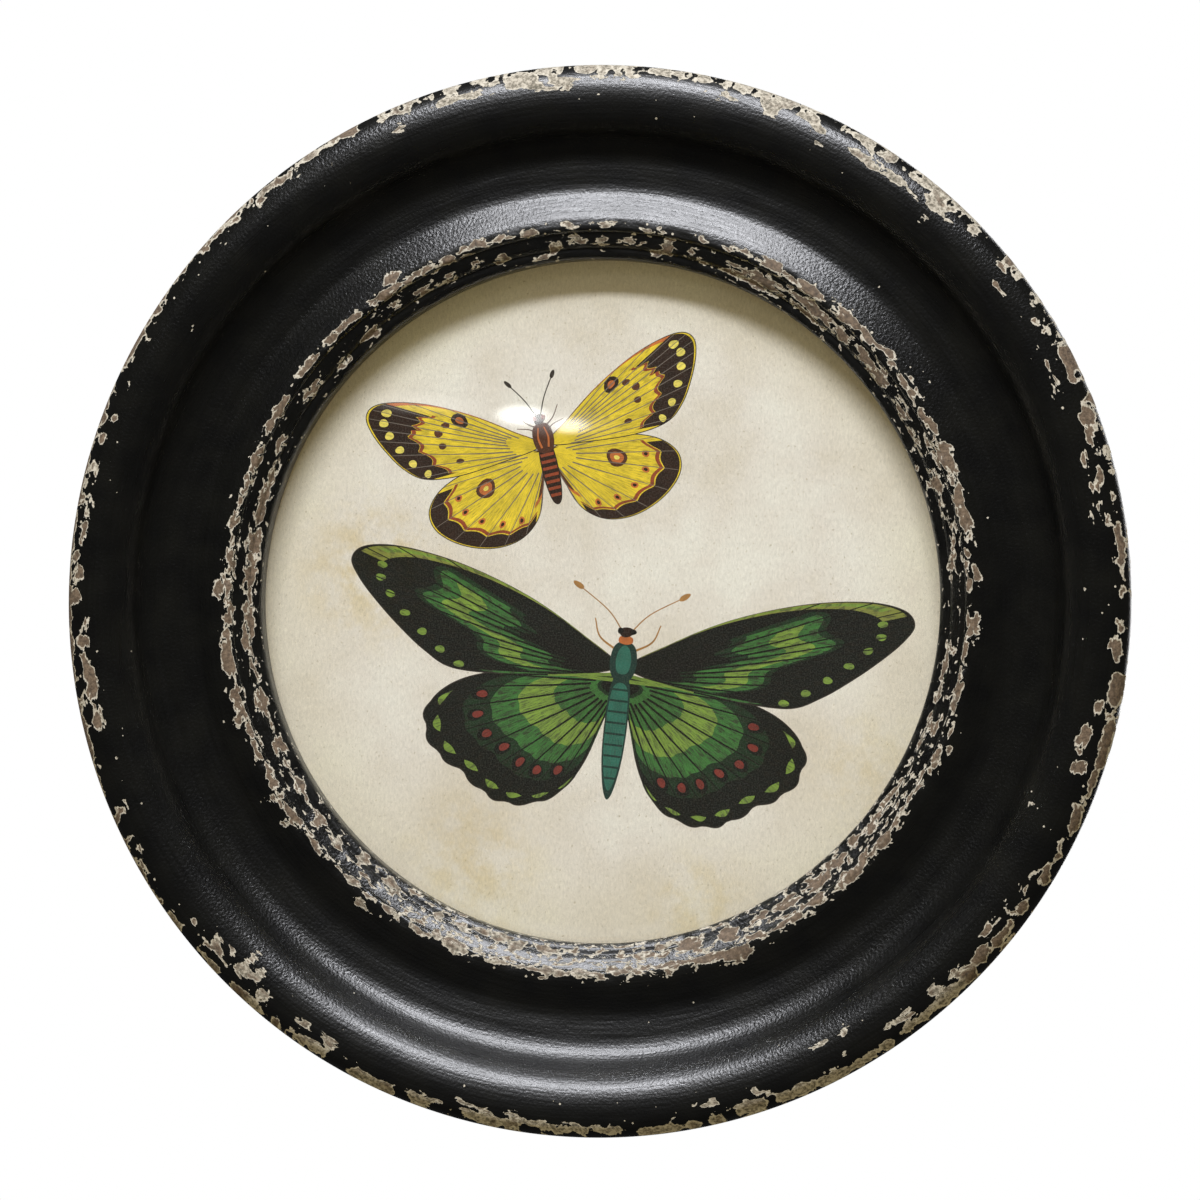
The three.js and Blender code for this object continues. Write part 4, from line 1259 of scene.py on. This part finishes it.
def make_card():
    """The card's face is cut along every printed edge, and each cell takes its top ink."""
    plate = Plate()
    rim_steps = 180
    plate.lay("paper", [(STACK_R * cos(tau * i / rim_steps), STACK_R * sin(tau * i / rim_steps))
                        for i in range(rim_steps)])
    butterfly(plate, -13.5, 36, radians(13), 40, 0.72, 10, ("yellow", -0.22), [
        (YELLOW_HIND, -1, None, yellow_hindwing), (YELLOW_FORE, 0, None, yellow_forewing)],
        yellow_body)
    butterfly(plate, 4.5, -17, radians(-7), 67, 0.82, 12, ("night", -0.25), [
        (GREEN_HIND, -1.5, (0.028, 4, 11.5, 0.35), green_hindwing),
        (GREEN_FORE, 0, None, green_forewing)], green_body)
    edges = [(a, b) for loop in plate.faces for a, b in zip(loop, loop[1:] + loop[:1])]
    spots, _, cells, _, _, _ = delaunay_2d_cdt(plate.points, edges, [], 0, 1e-4)
    top = plate.owners([sum((spots[i] for i in cell), Vector((0, 0))) / 3 for cell in cells])
    mesh = bpy.data.meshes.new("printed_card")
    mesh.from_pydata([(MIDDLE + Vector((s.x, -CARD_FACE, s.y))) * MM for s in spots], [], cells)
    mesh.color_attributes.new("ink", "FLOAT_COLOR", "CORNER")
    mesh.attributes.new("grain", "FLOAT", "CORNER")
    mesh.uv_layers.new(name="wing")
    colours = {name: linear(code, cover) for name, (code, cover, _) in INKS.items()}
    inks, grains, wings = [], [], []
    for cell, owner in zip(cells, top):
        name, back = plate.inks[owner], plate.frames[owner]
        for corner in cell:
            local = back @ Vector((*spots[corner], 1))
            inks += colours[name]
            grains.append(INKS[name][2])
            wings += local[:2]
    mesh.attributes["ink"].data.foreach_set("color", inks)
    mesh.attributes["grain"].data.foreach_set("value", grains)
    mesh.uv_layers["wing"].data.foreach_set("uv", wings)
    bm = bmesh.new()
    bm.from_mesh(mesh)
    bpy.data.meshes.remove(mesh)
    rim = [e for e in bm.edges if len(e.link_faces) == 1]
    wall = bmesh.ops.extrude_edge_only(bm, edges=rim)["geom"]
    low = [g for g in wall if isinstance(g, bmesh.types.BMVert)]
    bmesh.ops.translate(bm, verts=low, vec=(0, CARD_THICK * MM, 0))
    low_rim = [g for g in wall if isinstance(g, bmesh.types.BMEdge)]
    bmesh.ops.contextual_create(bm, geom=low_rim)
    bmesh.ops.recalc_face_normals(bm, faces=bm.faces)
    return piece("printed_card", bm, [CARD])


carried(make_card(), "print_card")


# Stage and surroundings

FLOOR_DROP = 0.45  # the floor is this far below the nail
FLOOR_R = 2.4
floor_bm = bmesh.new()
bmesh.ops.create_circle(floor_bm, cap_ends=True, segments=96, radius=FLOOR_R,
                        matrix=Matrix.Translation((0, 0, -FLOOR_DROP)))
studio = piece("studio_floor", floor_bm, [new_material("studio_floor_matte_paint", studio_floor)])
studio.visible_glossy = False
studio.visible_diffuse = False
studio.visible_transmission = False  # the inner face of the glass would mirror it

# The camera sees plain white, the paint and glass mirror near darkness, and warm light fills in
SEEN, MIRRORED, FILL = 1.0, 0.04, 0.42
WARM = (1, 0.84, 0.5, 1)
WHITE = (1, 1, 1, 1)

world = bpy.data.worlds.new("studio")
bpy.context.scene.world = world
add = emptied(world)
seen = add("Background", {"Color": WHITE, "Strength": SEEN})
mirrored = add("Background", {"Color": WHITE, "Strength": MIRRORED})
fill = add("Background", {"Color": WARM, "Strength": FILL})
path = add("LightPath").outputs
sharp = add("Math", [path["Is Glossy Ray"], path["Is Transmission Ray"]], operation="MAXIMUM")
unseen = add("MixShader", [sharp, fill, mirrored])
add("OutputWorld", {"Surface": add("MixShader", [path["Is Camera Ray"], unseen, seen])})
